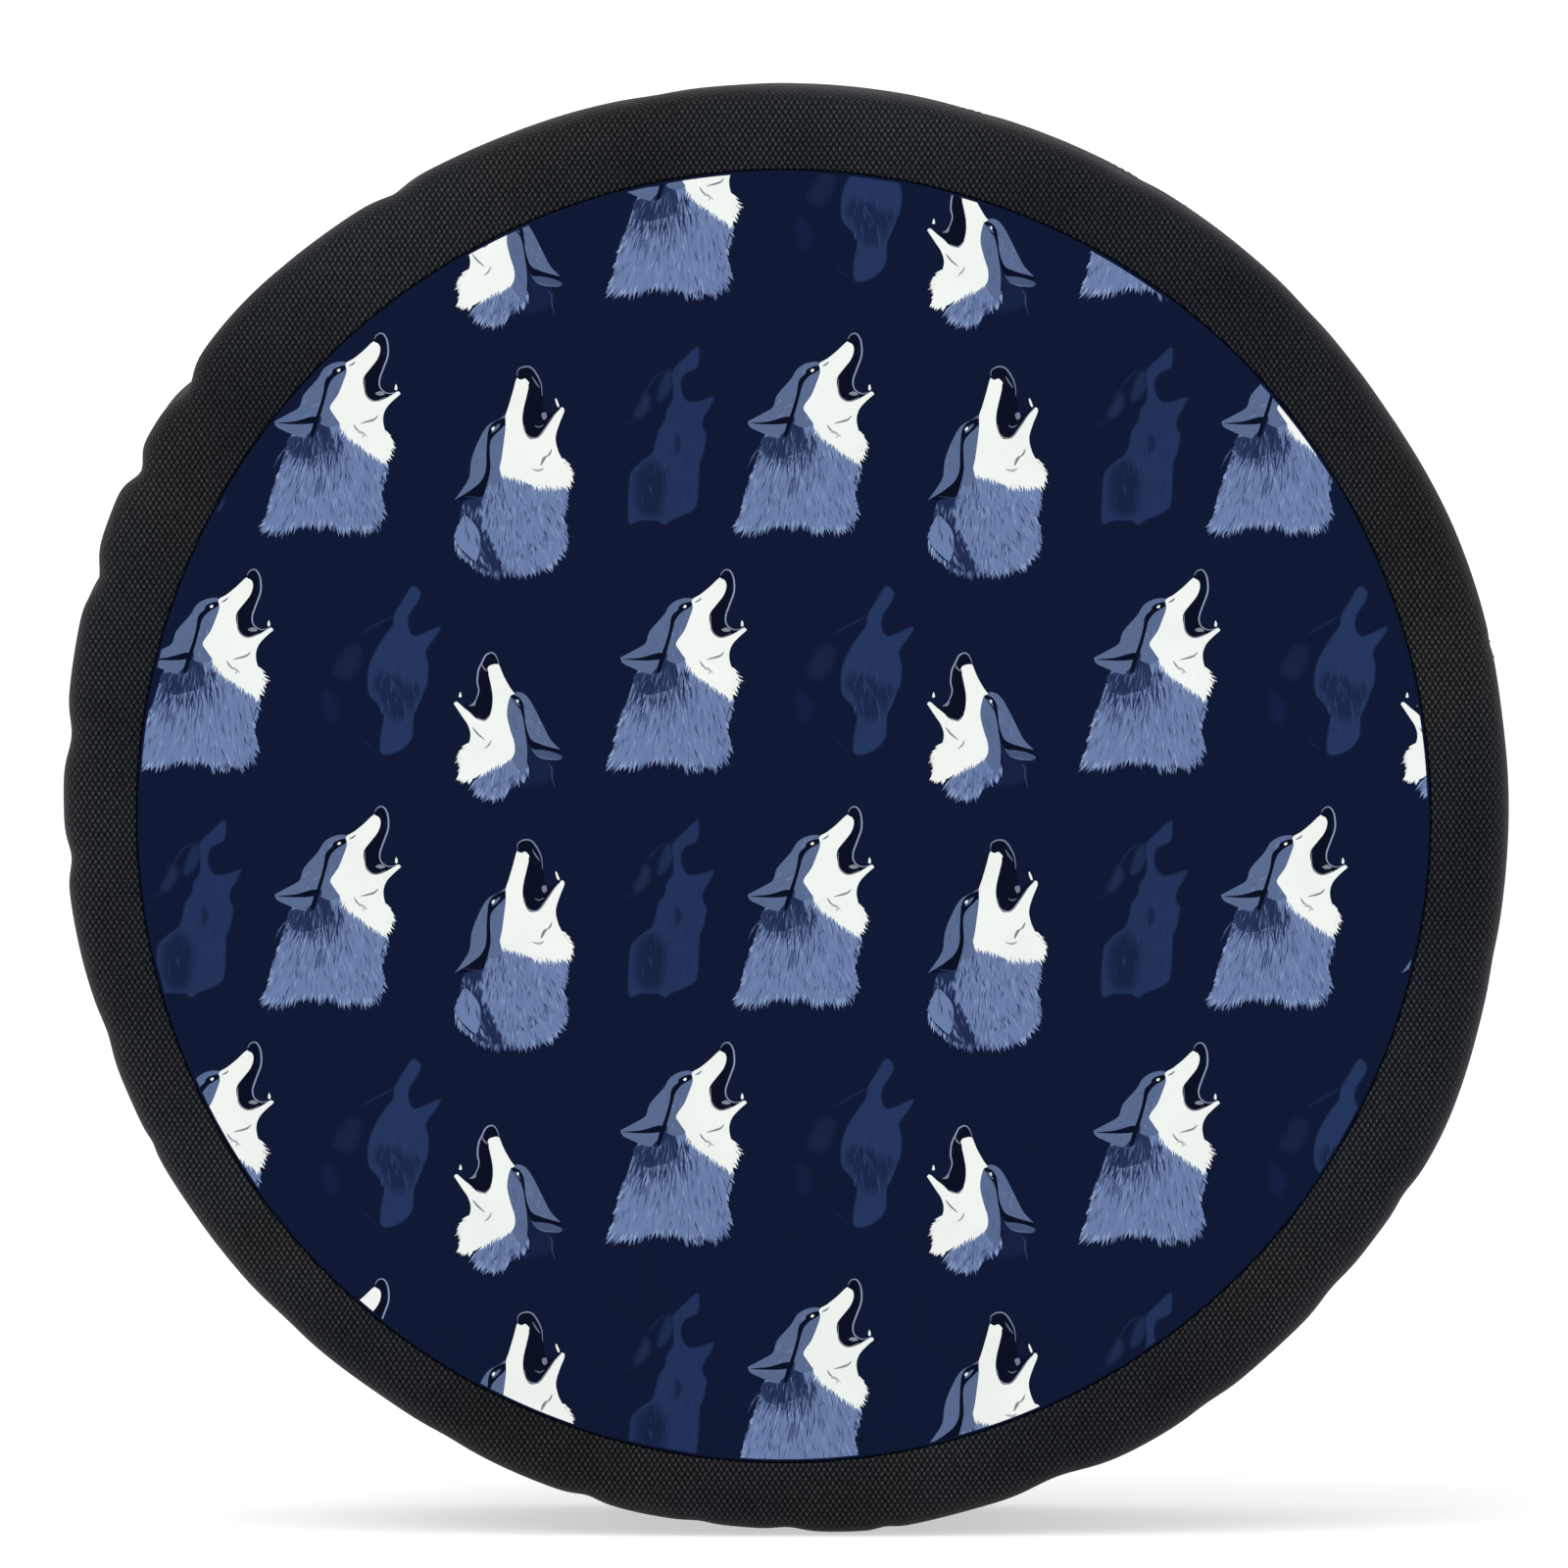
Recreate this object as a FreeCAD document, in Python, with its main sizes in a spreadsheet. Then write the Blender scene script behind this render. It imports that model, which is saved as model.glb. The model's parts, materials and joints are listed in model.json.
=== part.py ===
import FreeCAD, Part
import Sketcher
import os

# A soft cover that is pulled over the spare wheel of a vehicle. The origin is the middle of the
# tyre. The wheel's axis is Y: -Y is the face that people see and +Y is the open back, towards
# the vehicle. Z is up. Sections are drawn with the radius along the sketch's first axis and the
# depth (Y) along its second, and are turned about Y.

DIMENSIONS = [
    ("tyre_radius", 366.5, "outer radius of the 235/75R15 tyre inside"),
    ("tyre_width", 235, "section width of that tyre"),
    ("slack", 1.5, "room between the tyre and the cloth"),
    ("cloth", 1, "thickness of the coated cloth"),
    ("panel_radius", 330, "radius of the seam round the face panel"),
    ("allowance", 10, "depth of the seam allowance turned inside"),
    ("air", 0.1, "gap between two layers that are sewn together"),
    ("tape", 0.6, "thickness of the binding and of the join tapes"),
    ("tape_width", 20, "width of a join tape"),
    ("binding_leg", 7, "how far the binding reaches over the seam allowance"),
    ("band_edge", 88, "rear edge of the tread band"),
    ("lap", 14, "how far the rear skirt laps under the tread band"),
    ("skirt_round", 30, "outer radius of the skirt's turn over the tyre's shoulder"),
    ("mouth_radius", 250, "radius of the opening inside the elastic hem"),
    ("hem_depth", 16, "length of the hem along the wheel's axis"),
    ("hem_room", 2.8, "width of the channel that holds the elastic"),
    ("hem_tail", 12, "how far the hem's tape reaches under the skirt"),
    ("elastic_width", 12, "width of the flat elastic"),
    ("elastic_thickness", 1.6, "thickness of the flat elastic"),
    ("patch_length", 30, "length of the tape over the elastic's joined ends"),
    ("patch_thickness", 0.5, "thickness of that tape"),
    ("thread", 0.35, "radius of a laid row of stitches"),
    ("row_step", 6, "distance between two rows of stitches"),
    ("first_row", 4, "distance from an edge to the first row"),
    ("join_gap", 0.3, "gap where two half strips meet"),
    ("join_foot", 16, "angle on the shoulder's round where the band's join tape ends"),
    ("tread_join", 13, "angle of the tread band's first join"),
    ("skirt_join", 90, "angle of the rear skirt's first join"),
    ("label_angle", 236, "angle of the care label"),
    ("label_width", 32, "width of the care label"),
    ("label_length", 48, "length of the care label"),
    ("label_thickness", 0.4, "thickness of the care label"),
]

# Radii and depths that follow from the driving dimensions, as expressions of the sheet.
FACE_INSIDE = "(0 - Sizes.tyre_width / 2 - Sizes.slack)"
FACE_OUTSIDE = f"({FACE_INSIDE} - Sizes.cloth)"
LIP_END = f"({FACE_INSIDE} + Sizes.allowance)"
BAND_FOOT = "(Sizes.panel_radius + Sizes.air)"
BAND_INSIDE = "(Sizes.tyre_radius + Sizes.slack)"
BAND_OUTSIDE = f"({BAND_INSIDE} + Sizes.cloth)"
SHOULDER_Y = f"({FACE_OUTSIDE} + {BAND_OUTSIDE} - {BAND_FOOT})"
SKIRT_TOP = f"({BAND_INSIDE} - Sizes.air)"
SKIRT_CENTRE = f"({SKIRT_TOP} - Sizes.skirt_round)"
BACK_INSIDE = "(Sizes.tyre_width / 2 + Sizes.slack)"
BACK_OUTSIDE = f"({BACK_INSIDE} + Sizes.cloth)"
SKIRT_Y = f"({BACK_OUTSIDE} - Sizes.skirt_round)"
LAP_END = "(Sizes.band_edge - Sizes.lap)"
ROOM_INSIDE = "(Sizes.mouth_radius + Sizes.cloth)"
ROOM_OUTSIDE = f"({ROOM_INSIDE} + Sizes.hem_room)"
HEM_OUTSIDE = f"({ROOM_OUTSIDE} + Sizes.cloth)"
HEM_FRONT = f"({BACK_OUTSIDE} - Sizes.hem_depth)"
SKIRT_FOOT = f"({HEM_OUTSIDE} + Sizes.air)"
TAIL_TOP = f"({BACK_INSIDE} - Sizes.air)"
TAIL_END = f"({SKIRT_FOOT} + Sizes.hem_tail)"
ELASTIC_FRONT = f"({BACK_OUTSIDE} - Sizes.hem_depth / 2 - Sizes.elastic_width / 2)"
ELASTIC_BACK = f"({ELASTIC_FRONT} + Sizes.elastic_width)"
PATCH_INSIDE = f"({ROOM_INSIDE} + Sizes.air)"
PATCH_OUTSIDE = f"({PATCH_INSIDE} + Sizes.patch_thickness)"
ELASTIC_INSIDE = f"({PATCH_OUTSIDE} + Sizes.air)"
LABEL_FOOT = f"({TAIL_END} + Sizes.first_row)"
LABEL_BACK = f"({BACK_OUTSIDE} + Sizes.air + Sizes.label_thickness)"
THREAD_LIFT = "(Sizes.thread + Sizes.air / 5)"

doc = FreeCAD.newDocument("SpareTyreCover")
sheet = doc.addObject("Spreadsheet::Sheet", "Sizes")
for row, (alias, size, meaning) in enumerate(DIMENSIONS, 1):
    sheet.set(f"A{row}", str(size))
    sheet.setAlias(f"A{row}", alias)
    sheet.set(f"B{row}", meaning)
doc.recompute()

parts = []


def value(expression):
    """The number that an expression of the sheet's sizes gives."""
    return float(sheet.evalExpression(expression))


def about_axis(angle):
    """A turn about Y to an angle seen from the front, counted from +X towards +Z."""
    axis = FreeCAD.Vector(0, -1, 0)
    return FreeCAD.Placement(FreeCAD.Vector(), FreeCAD.Rotation(axis, value(angle)))


def new_body(name, turn):
    body = doc.addObject("PartDesign::Body", name)
    body.Label = name
    body.Placement = about_axis(turn)
    return body


def new_sketch(body, name, role="XY_Plane", lift=None):
    """A sketch on one of the body's origin planes, lifted along the plane's normal."""
    sketch = body.newObject("Sketcher::SketchObject", name)
    plane = next(f for f in body.Origin.OriginFeatures if f.Role == role)
    sketch.AttachmentSupport = [(plane, "")]
    sketch.MapMode = "FlatFace"
    if lift:
        sketch.setExpression("AttachmentOffset.Base.z", lift)
    return sketch


def hold(sketch, geometry, end, axis, place):
    """Hold an end or a centre at a place along the sketch's first (X) or second (Y) axis."""
    if place == "0":
        across = -2 if axis == "X" else -1
        sketch.addConstraint(Sketcher.Constraint("PointOnObject", geometry, end, across))
        return
    held = Sketcher.Constraint("Distance" + axis, -1, 1, geometry, end, value(place))
    index = sketch.addConstraint(held)
    name = f"{'radius' if axis == 'X' else 'depth'}{index}"
    sketch.renameConstraint(index, name)
    sketch.setExpression(f"Constraints.{name}", place)


def add_arc(sketch, start, end, centre_radius):
    """Add the short arc between two places whose centre has this first coordinate. Returns
    which of the arc's ends lies at the start and which at the end."""
    chord = end - start
    middle = (start + end) / 2
    rise = (middle.x - centre_radius) * chord.x / chord.y
    centre = FreeCAD.Vector(centre_radius, middle.y + rise, 0)
    circle = Part.Circle(centre, FreeCAD.Vector(0, 0, 1), (start - centre).Length)
    to_left = (start - centre).cross(end - centre).z > 0
    first, last = (start, end) if to_left else (end, start)
    angles = circle.parameter(first), circle.parameter(last)
    sketch.addGeometry(Part.ArcOfCircle(circle, *angles))
    return (1, 2) if to_left else (2, 1)


def draw(sketch, corners, closed=True):
    """Draw an outline or a path. A corner is (radius, depth), or (radius, depth, radius of the
    centre) where a round stretch leaves it."""
    base = sketch.GeometryCount
    places = [FreeCAD.Vector(value(c[0]), value(c[1]), 0) for c in corners]
    pieces = len(corners) if closed else len(corners) - 1
    ends = []
    for i in range(pieces):
        start, end = places[i], places[(i + 1) % len(places)]
        if len(corners[i]) == 3:
            ends.append(add_arc(sketch, start, end, value(corners[i][2])))
        else:
            sketch.addGeometry(Part.LineSegment(start, end))
            ends.append((1, 2))
    for i in range(pieces if closed else pieces - 1):
        after = (i + 1) % pieces
        joint = (base + i, ends[i][1], base + after, ends[after][0])
        sketch.addConstraint(Sketcher.Constraint("Coincident", *joint))
    for i in range(pieces):
        hold(sketch, base + i, ends[i][0], "X", corners[i][0])
        hold(sketch, base + i, ends[i][0], "Y", corners[i][1])
        if len(corners[i]) == 3:
            hold(sketch, base + i, 3, "X", corners[i][2])
    if not closed:
        hold(sketch, base + pieces - 1, ends[-1][1], "X", corners[-1][0])
        hold(sketch, base + pieces - 1, ends[-1][1], "Y", corners[-1][1])


def rectangle(inside, outside, front, back):
    return [(inside, front), (outside, front), (outside, back), (inside, back)]


def turned(name, outlines, sweep=None, turn="0"):
    """A part made by turning outlines about the wheel's axis, all round or through a sweep
    centred on an angle."""
    body = new_body(name, turn)
    sketch = new_sketch(body, name + "_section")
    for corners in outlines:
        draw(sketch, corners)
    feature = body.newObject("PartDesign::Revolution", name + "_turned")
    feature.Profile = sketch
    feature.ReferenceAxis = (sketch, ["V_Axis"])
    if sweep:
        feature.Midplane = True
        feature.setExpression("Angle", sweep)
    parts.append(body)
    return body


def arc_of(length, radius):
    """The angle that a length takes up at a radius."""
    return f"({length} / {radius} * 180 / pi)"


def thread_ring(name, radius, depth):
    """A row of stitches laid all the way round."""
    ring = doc.addObject("Part::Torus", name)
    ring.Placement = FreeCAD.Placement(
        FreeCAD.Vector(), FreeCAD.Rotation(FreeCAD.Vector(1, 0, 0), 90)
    )
    ring.setExpression("Radius1", radius)
    ring.setExpression("Radius2", "Sizes.thread")
    ring.setExpression("Placement.Base.y", depth)
    return ring


def thread_row(name, path, turn):
    """A row of stitches laid along a path in a plane through the wheel's axis. The path starts
    along the axis or along the radius."""
    body = new_body(name, turn)
    spine = new_sketch(body, name + "_path")
    draw(spine, path, closed=False)
    radius, depth = path[0][:2]
    along_axis = path[1][0] == radius
    if along_axis:
        section = new_sketch(body, name + "_section", "XZ_Plane", f"0 - {depth}")
        across = radius
    else:
        section = new_sketch(body, name + "_section", "YZ_Plane", radius)
        across = depth
    middle = FreeCAD.Vector(value(across), 0, 0)
    circle = Part.Circle(middle, FreeCAD.Vector(0, 0, 1), value("Sizes.thread"))
    index = section.addGeometry(circle)
    hold(section, index, 3, "X", across)
    hold(section, index, 3, "Y", "0")
    size = section.addConstraint(Sketcher.Constraint("Radius", index, value("Sizes.thread")))
    section.renameConstraint(size, "thread")
    section.setExpression("Constraints.thread", "Sizes.thread")
    pipe = body.newObject("PartDesign::AdditivePipe", name + "_laid")
    pipe.Profile = section
    pipe.Spine = (spine, [])
    return body


def group(name, rows):
    """Rows of the same stitching as one part of separate solids."""
    compound = doc.addObject("Part::Compound", name)
    compound.Label = name
    compound.Links = rows
    parts.append(compound)


def make_face_panel():
    """The printed disc, with its edge turned back as the seam allowance."""
    lip_inside = "(Sizes.panel_radius - Sizes.cloth)"
    section = [
        ("0", FACE_OUTSIDE),
        ("Sizes.panel_radius", FACE_OUTSIDE),
        ("Sizes.panel_radius", LIP_END),
        (lip_inside, LIP_END),
        (lip_inside, FACE_INSIDE),
        ("0", FACE_INSIDE),
    ]
    turned("front_panel", [section])


def make_tread_band():
    """Two half strips that roll over the tyre's shoulder and run back across its tread."""
    lip_outside = f"({BAND_FOOT} + Sizes.cloth)"
    inner_round = f"({SHOULDER_Y} - {FACE_INSIDE})"
    lip_top = f"({SHOULDER_Y} - sqrt({inner_round}^2 - Sizes.cloth^2))"
    section = [
        (BAND_FOOT, LIP_END),
        (BAND_FOOT, FACE_OUTSIDE, BAND_FOOT),
        (BAND_OUTSIDE, SHOULDER_Y),
        (BAND_OUTSIDE, "Sizes.band_edge"),
        (BAND_INSIDE, "Sizes.band_edge"),
        (BAND_INSIDE, SHOULDER_Y, BAND_FOOT),
        (lip_outside, lip_top),
        (lip_outside, LIP_END),
    ]
    sweep = "180 - " + arc_of("Sizes.join_gap", BAND_INSIDE)
    turned("tread_band_upper", [section], sweep, "Sizes.tread_join + 90")
    turned("tread_band_lower", [section], sweep, "Sizes.tread_join + 270")


def make_rear_skirt():
    """Two half strips that lap under the band, turn over the tyre's rear shoulder and run in
    to the hem."""
    inside = f"({SKIRT_TOP} - Sizes.cloth)"
    section = [
        (SKIRT_TOP, LAP_END),
        (SKIRT_TOP, SKIRT_Y, SKIRT_CENTRE),
        (SKIRT_CENTRE, BACK_OUTSIDE),
        (SKIRT_FOOT, BACK_OUTSIDE),
        (SKIRT_FOOT, BACK_INSIDE),
        (SKIRT_CENTRE, BACK_INSIDE, SKIRT_CENTRE),
        (inside, SKIRT_Y),
        (inside, LAP_END),
    ]
    sweep = "180 - " + arc_of("Sizes.join_gap", BAND_INSIDE)
    turned("rear_skirt_left", [section], sweep, "Sizes.skirt_join + 90")
    turned("rear_skirt_right", [section], sweep, "Sizes.skirt_join + 270")


def make_front_binding():
    """The tape folded over both seam allowances behind the edge of the face panel."""
    inner = f"(Sizes.panel_radius - Sizes.cloth - Sizes.air)"
    outer = f"({BAND_FOOT} + Sizes.cloth + Sizes.air)"
    fold = f"({LIP_END} + Sizes.air)"
    legs = f"({LIP_END} - Sizes.binding_leg)"
    section = [
        (f"({inner} - Sizes.tape)", legs),
        (inner, legs),
        (inner, fold),
        (outer, fold),
        (outer, legs),
        (f"({outer} + Sizes.tape)", legs),
        (f"({outer} + Sizes.tape)", f"({fold} + Sizes.tape)"),
        (f"({inner} - Sizes.tape)", f"({fold} + Sizes.tape)"),
    ]
    turned("front_seam_binding", [section])
    depth = f"{LIP_END} - Sizes.first_row"
    rows = [
        thread_ring("front_seam_row_inner", f"{inner} - Sizes.tape - {THREAD_LIFT}", depth),
        thread_ring("front_seam_row_outer", f"{outer} + Sizes.tape + {THREAD_LIFT}", depth),
    ]
    group("front_seam_stitching", rows)


def on_shoulder(outward):
    """Where the band's join ends on the front shoulder, so far out from the round's centre."""
    radius = f"({BAND_FOOT} + {outward} * sin(Sizes.join_foot))"
    depth = f"({SHOULDER_Y} - {outward} * cos(Sizes.join_foot))"
    return radius, depth


def make_tread_joins():
    """The tapes behind the band's two joins, and a row of stitches on each side of each join."""
    back = f"({LAP_END} - Sizes.air)"
    tape_top = f"({BAND_INSIDE} - Sizes.air)"
    tape_low = f"({tape_top} - Sizes.tape)"
    row_radius = f"({BAND_OUTSIDE} + {THREAD_LIFT})"
    section = [
        (tape_low, back),
        (tape_top, back),
        (tape_top, SHOULDER_Y, BAND_FOOT),
        on_shoulder(f"({tape_top} - {BAND_FOOT})"),
        (*on_shoulder(f"({tape_low} - {BAND_FOOT})"), BAND_FOOT),
        (tape_low, SHOULDER_Y),
    ]
    path = [
        (row_radius, back),
        (row_radius, SHOULDER_Y, BAND_FOOT),
        on_shoulder(f"({row_radius} - {BAND_FOOT})"),
    ]
    sweep = arc_of("Sizes.tape_width", tape_low)
    away = arc_of("Sizes.first_row", row_radius)
    rows = []
    for side, turn in (("right", "Sizes.tread_join"), ("left", "Sizes.tread_join + 180")):
        turned("tread_join_tape_" + side, [section], sweep, turn)
        for place, sign in (("over", "+"), ("under", "-")):
            row_name = f"tread_join_row_{side}_{place}"
            rows.append(thread_row(row_name, path, f"{turn} {sign} {away}"))
    group("tread_join_stitching", rows)


def make_skirt_joins():
    """The same for the rear skirt."""
    tape_top = f"({SKIRT_TOP} - Sizes.cloth - Sizes.air)"
    tape_low = f"({tape_top} - Sizes.tape)"
    tape_back = f"({BACK_INSIDE} - Sizes.air)"
    tape_foot = f"({TAIL_END} + Sizes.air)"
    section = [
        (tape_top, SKIRT_Y),
        (tape_low, SKIRT_Y, SKIRT_CENTRE),
        (SKIRT_CENTRE, f"({tape_back} - Sizes.tape)"),
        (tape_foot, f"({tape_back} - Sizes.tape)"),
        (tape_foot, tape_back),
        (SKIRT_CENTRE, tape_back, SKIRT_CENTRE),
    ]
    row_depth = f"({BACK_OUTSIDE} + {THREAD_LIFT})"
    row_radius = f"({SKIRT_TOP} + {THREAD_LIFT})"
    path = [
        (f"({TAIL_END} + Sizes.air)", row_depth),
        (SKIRT_CENTRE, row_depth, SKIRT_CENTRE),
        (row_radius, SKIRT_Y),
    ]
    sweep = arc_of("Sizes.tape_width", tape_low)
    away = arc_of("Sizes.first_row", row_radius)
    rows = []
    for side, turn in (("top", "Sizes.skirt_join"), ("bottom", "Sizes.skirt_join + 180")):
        turned("skirt_join_tape_" + side, [section], sweep, turn)
        for place, sign in (("left", "+"), ("right", "-")):
            row_name = f"skirt_join_row_{side}_{place}"
            rows.append(thread_row(row_name, path, f"{turn} {sign} {away}"))
    group("skirt_join_stitching", rows)


def make_rear_seam():
    """Two rows of stitches through the lap of the band over the skirt, seen outside and in."""
    outer = f"{BAND_OUTSIDE} + {THREAD_LIFT}"
    inner = f"{SKIRT_TOP} - Sizes.cloth - {THREAD_LIFT}"
    rows = []
    for number in (0, 1):
        depth = f"Sizes.band_edge - Sizes.first_row - {number} * Sizes.row_step"
        rows.append(thread_ring(f"rear_seam_outer_{number + 1}", outer, depth))
        rows.append(thread_ring(f"rear_seam_inner_{number + 1}", inner, depth))
    group("rear_seam_stitching", rows)


def make_hem():
    """The tape channel round the opening, its tail under the skirt, and the elastic in it."""
    channel = [
        ("Sizes.mouth_radius", HEM_FRONT),
        (HEM_OUTSIDE, HEM_FRONT),
        (HEM_OUTSIDE, f"({TAIL_TOP} - Sizes.cloth)"),
        (TAIL_END, f"({TAIL_TOP} - Sizes.cloth)"),
        (TAIL_END, TAIL_TOP),
        (HEM_OUTSIDE, TAIL_TOP),
        (HEM_OUTSIDE, BACK_OUTSIDE),
        ("Sizes.mouth_radius", BACK_OUTSIDE),
    ]
    room = rectangle(
        ROOM_INSIDE,
        ROOM_OUTSIDE,
        f"({HEM_FRONT} + Sizes.cloth)",
        f"({BACK_OUTSIDE} - Sizes.cloth)",
    )
    turned("hem_casing", [channel, room])
    outside = f"({ELASTIC_INSIDE} + Sizes.elastic_thickness)"
    elastic = rectangle(ELASTIC_INSIDE, outside, ELASTIC_FRONT, ELASTIC_BACK)
    ends = arc_of("Sizes.join_gap", ELASTIC_INSIDE)
    turned("hem_elastic", [elastic], f"360 - {ends}", "Sizes.skirt_join")
    patch = rectangle(PATCH_INSIDE, PATCH_OUTSIDE, ELASTIC_FRONT, ELASTIC_BACK)
    sweep = arc_of("Sizes.patch_length", PATCH_INSIDE)
    turned("elastic_join_tape", [patch], sweep, "Sizes.skirt_join + 180")
    rows = []
    for number in (0, 1):
        radius = f"{SKIRT_FOOT} + Sizes.hem_tail / 3 * ({number} + 1)"
        over = f"{BACK_OUTSIDE} + {THREAD_LIFT}"
        under = f"{TAIL_TOP} - Sizes.cloth - {THREAD_LIFT}"
        rows.append(thread_ring(f"hem_outer_{number + 1}", radius, over))
        rows.append(thread_ring(f"hem_inner_{number + 1}", radius, under))
    group("hem_stitching", rows)


def make_care_label():
    """A blank label sewn flat on the rear skirt beside the hem."""
    half = "Sizes.label_width / 2"
    name = "care_label"
    body = new_body(name, "Sizes.label_angle")
    lift = f"0 - {BACK_OUTSIDE} - Sizes.air"
    sketch = new_sketch(body, name + "_outline", "XZ_Plane", lift)
    far = f"({LABEL_FOOT} + Sizes.label_length)"
    draw(sketch, rectangle(LABEL_FOOT, far, f"(0 - {half})", f"({half})"))
    pad = body.newObject("PartDesign::Pad", name + "_sheet")
    pad.Profile = sketch
    pad.Reversed = True
    pad.setExpression("Length", "Sizes.label_thickness")
    parts.append(body)
    row = doc.addObject("Part::Cylinder", "care_label_row")
    row.setExpression("Radius", "Sizes.thread")
    row.setExpression("Height", "Sizes.label_width - Sizes.first_row")
    start = FreeCAD.Vector(
        value(f"{LABEL_FOOT} + Sizes.first_row"),
        value(f"{LABEL_BACK} + {THREAD_LIFT}"),
        value(f"Sizes.first_row / 2 - {half}"),
    )
    row.Placement = about_axis("Sizes.label_angle") * FreeCAD.Placement(start, FreeCAD.Rotation())
    group("care_label_stitching", [row])


def check_document():
    """Stop if any object failed to build or if any part has no sound shape."""
    for item in doc.Objects:
        if {"Invalid", "Error"} & set(item.State):
            raise RuntimeError(f"{item.Label}: {item.State}")
    for part in parts:
        shape = part.Shape
        if shape.isNull() or not shape.isValid() or not shape.Solids:
            raise RuntimeError(f"{part.Label} has no valid solid")


make_face_panel()
make_tread_band()
make_rear_skirt()
make_front_binding()
make_tread_joins()
make_skirt_joins()
make_rear_seam()
make_hem()
make_care_label()
doc.recompute()
check_document()

os.makedirs("parts", exist_ok=True)
for part in parts:
    part.Shape.exportStep(f"parts/{part.Label}.step")
    box = part.Shape.BoundBox
    print(
        f"{part.Label}: {len(part.Shape.Solids)} solids, {part.Shape.Volume:.0f} mm3,"
        f" Y {box.YMin:.2f} to {box.YMax:.2f}, radius to {box.XMax:.2f}"
    )
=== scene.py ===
"""Looks of the spare tire cover: a soft cover with a printed round face, a black side band
and a black rear skirt gathered by an elastic hem.

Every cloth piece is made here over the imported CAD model, in metres and in the same frame.
-Y is the printed face, +Z is up, and angles run from +X towards +Z.
"""
import json
import math
import random

import bpy
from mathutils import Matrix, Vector, noise
from mathutils.geometry import delaunay_2d_cdt


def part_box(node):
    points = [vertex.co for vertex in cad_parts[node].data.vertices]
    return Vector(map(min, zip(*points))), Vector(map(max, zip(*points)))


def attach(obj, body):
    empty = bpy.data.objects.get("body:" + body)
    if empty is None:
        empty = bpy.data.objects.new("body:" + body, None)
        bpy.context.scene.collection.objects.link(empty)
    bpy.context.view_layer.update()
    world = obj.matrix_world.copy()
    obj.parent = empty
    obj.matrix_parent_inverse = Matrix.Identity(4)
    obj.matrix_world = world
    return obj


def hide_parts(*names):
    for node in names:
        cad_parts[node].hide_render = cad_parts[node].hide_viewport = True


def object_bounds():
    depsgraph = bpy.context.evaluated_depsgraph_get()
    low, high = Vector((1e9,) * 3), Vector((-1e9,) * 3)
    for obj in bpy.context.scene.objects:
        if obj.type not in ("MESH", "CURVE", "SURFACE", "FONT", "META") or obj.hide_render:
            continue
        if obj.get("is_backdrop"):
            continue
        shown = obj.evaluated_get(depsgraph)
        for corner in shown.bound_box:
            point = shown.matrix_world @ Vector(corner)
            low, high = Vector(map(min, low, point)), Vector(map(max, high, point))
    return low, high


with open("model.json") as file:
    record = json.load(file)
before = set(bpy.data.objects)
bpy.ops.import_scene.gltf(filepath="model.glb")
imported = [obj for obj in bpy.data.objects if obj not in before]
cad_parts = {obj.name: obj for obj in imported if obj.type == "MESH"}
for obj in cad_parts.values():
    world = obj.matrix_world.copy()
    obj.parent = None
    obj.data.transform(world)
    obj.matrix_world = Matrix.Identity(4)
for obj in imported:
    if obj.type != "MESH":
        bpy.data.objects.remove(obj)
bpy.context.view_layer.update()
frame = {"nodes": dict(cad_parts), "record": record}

MM = 0.001
CLOTH = 0.9 * MM
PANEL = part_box("front_panel")
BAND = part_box("tread_band_upper")
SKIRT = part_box("rear_skirt_left")
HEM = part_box("hem_casing")
FACE_Y = PANEL[0].y
LIP_Y = PANEL[1].y
PANEL_RADIUS = PANEL[1].x
BAND_EDGE_Y = BAND[1].y
LAP_Y = SKIRT[0].y
BACK_Y = SKIRT[1].y
HEM_Y = (HEM[0].y, HEM[1].y)
MOUTH_RADIUS = next(m["dims"]["r_mm"] for m in frame["record"]["mounts"] if m["name"] == "rear_mouth") * MM
CASING_RADIUS = MOUTH_RADIUS + 4.8 * MM
FIRST_JOIN = 13.0          # degrees: where the side band's two halves meet, and half a turn on


# ---------------------------------------------------------------- small helpers

def linear(value):
    """One 0-255 screen value as linear light."""
    v = value / 255
    if v <= 0.04045:
        return v / 12.92
    return ((v + 0.055) / 1.055) ** 2.4


def shade(red, green, blue):
    """A colour from its 0-255 screen values."""
    return (linear(red), linear(green), linear(blue), 1.0)


def mixed(first, second, share):
    return tuple(a + (b - a) * share for a, b in zip(first, second))


def clamp(value, low=0.0, high=1.0):
    return max(low, min(high, value))


def ease(value, start, end):
    """0 before start, 1 after end, smooth between."""
    t = clamp((value - start) / (end - start))
    return t * t * (3 - 2 * t)


def hump(value, middle, half_width):
    return math.exp(-((value - middle) / half_width) ** 2)


def rough(x, y, seed):
    """Smooth noise between about -1 and 1."""
    return noise.noise(Vector((x, y, seed * 7.31)))


def ring_noise(degrees, count, along, seed):
    """Noise that closes on itself round the ring, with about `count` waves in a turn."""
    a = math.radians(degrees)
    k = count / (2 * math.pi)
    return noise.noise(Vector((math.cos(a) * k, math.sin(a) * k, along + seed * 7.31)))


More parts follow.
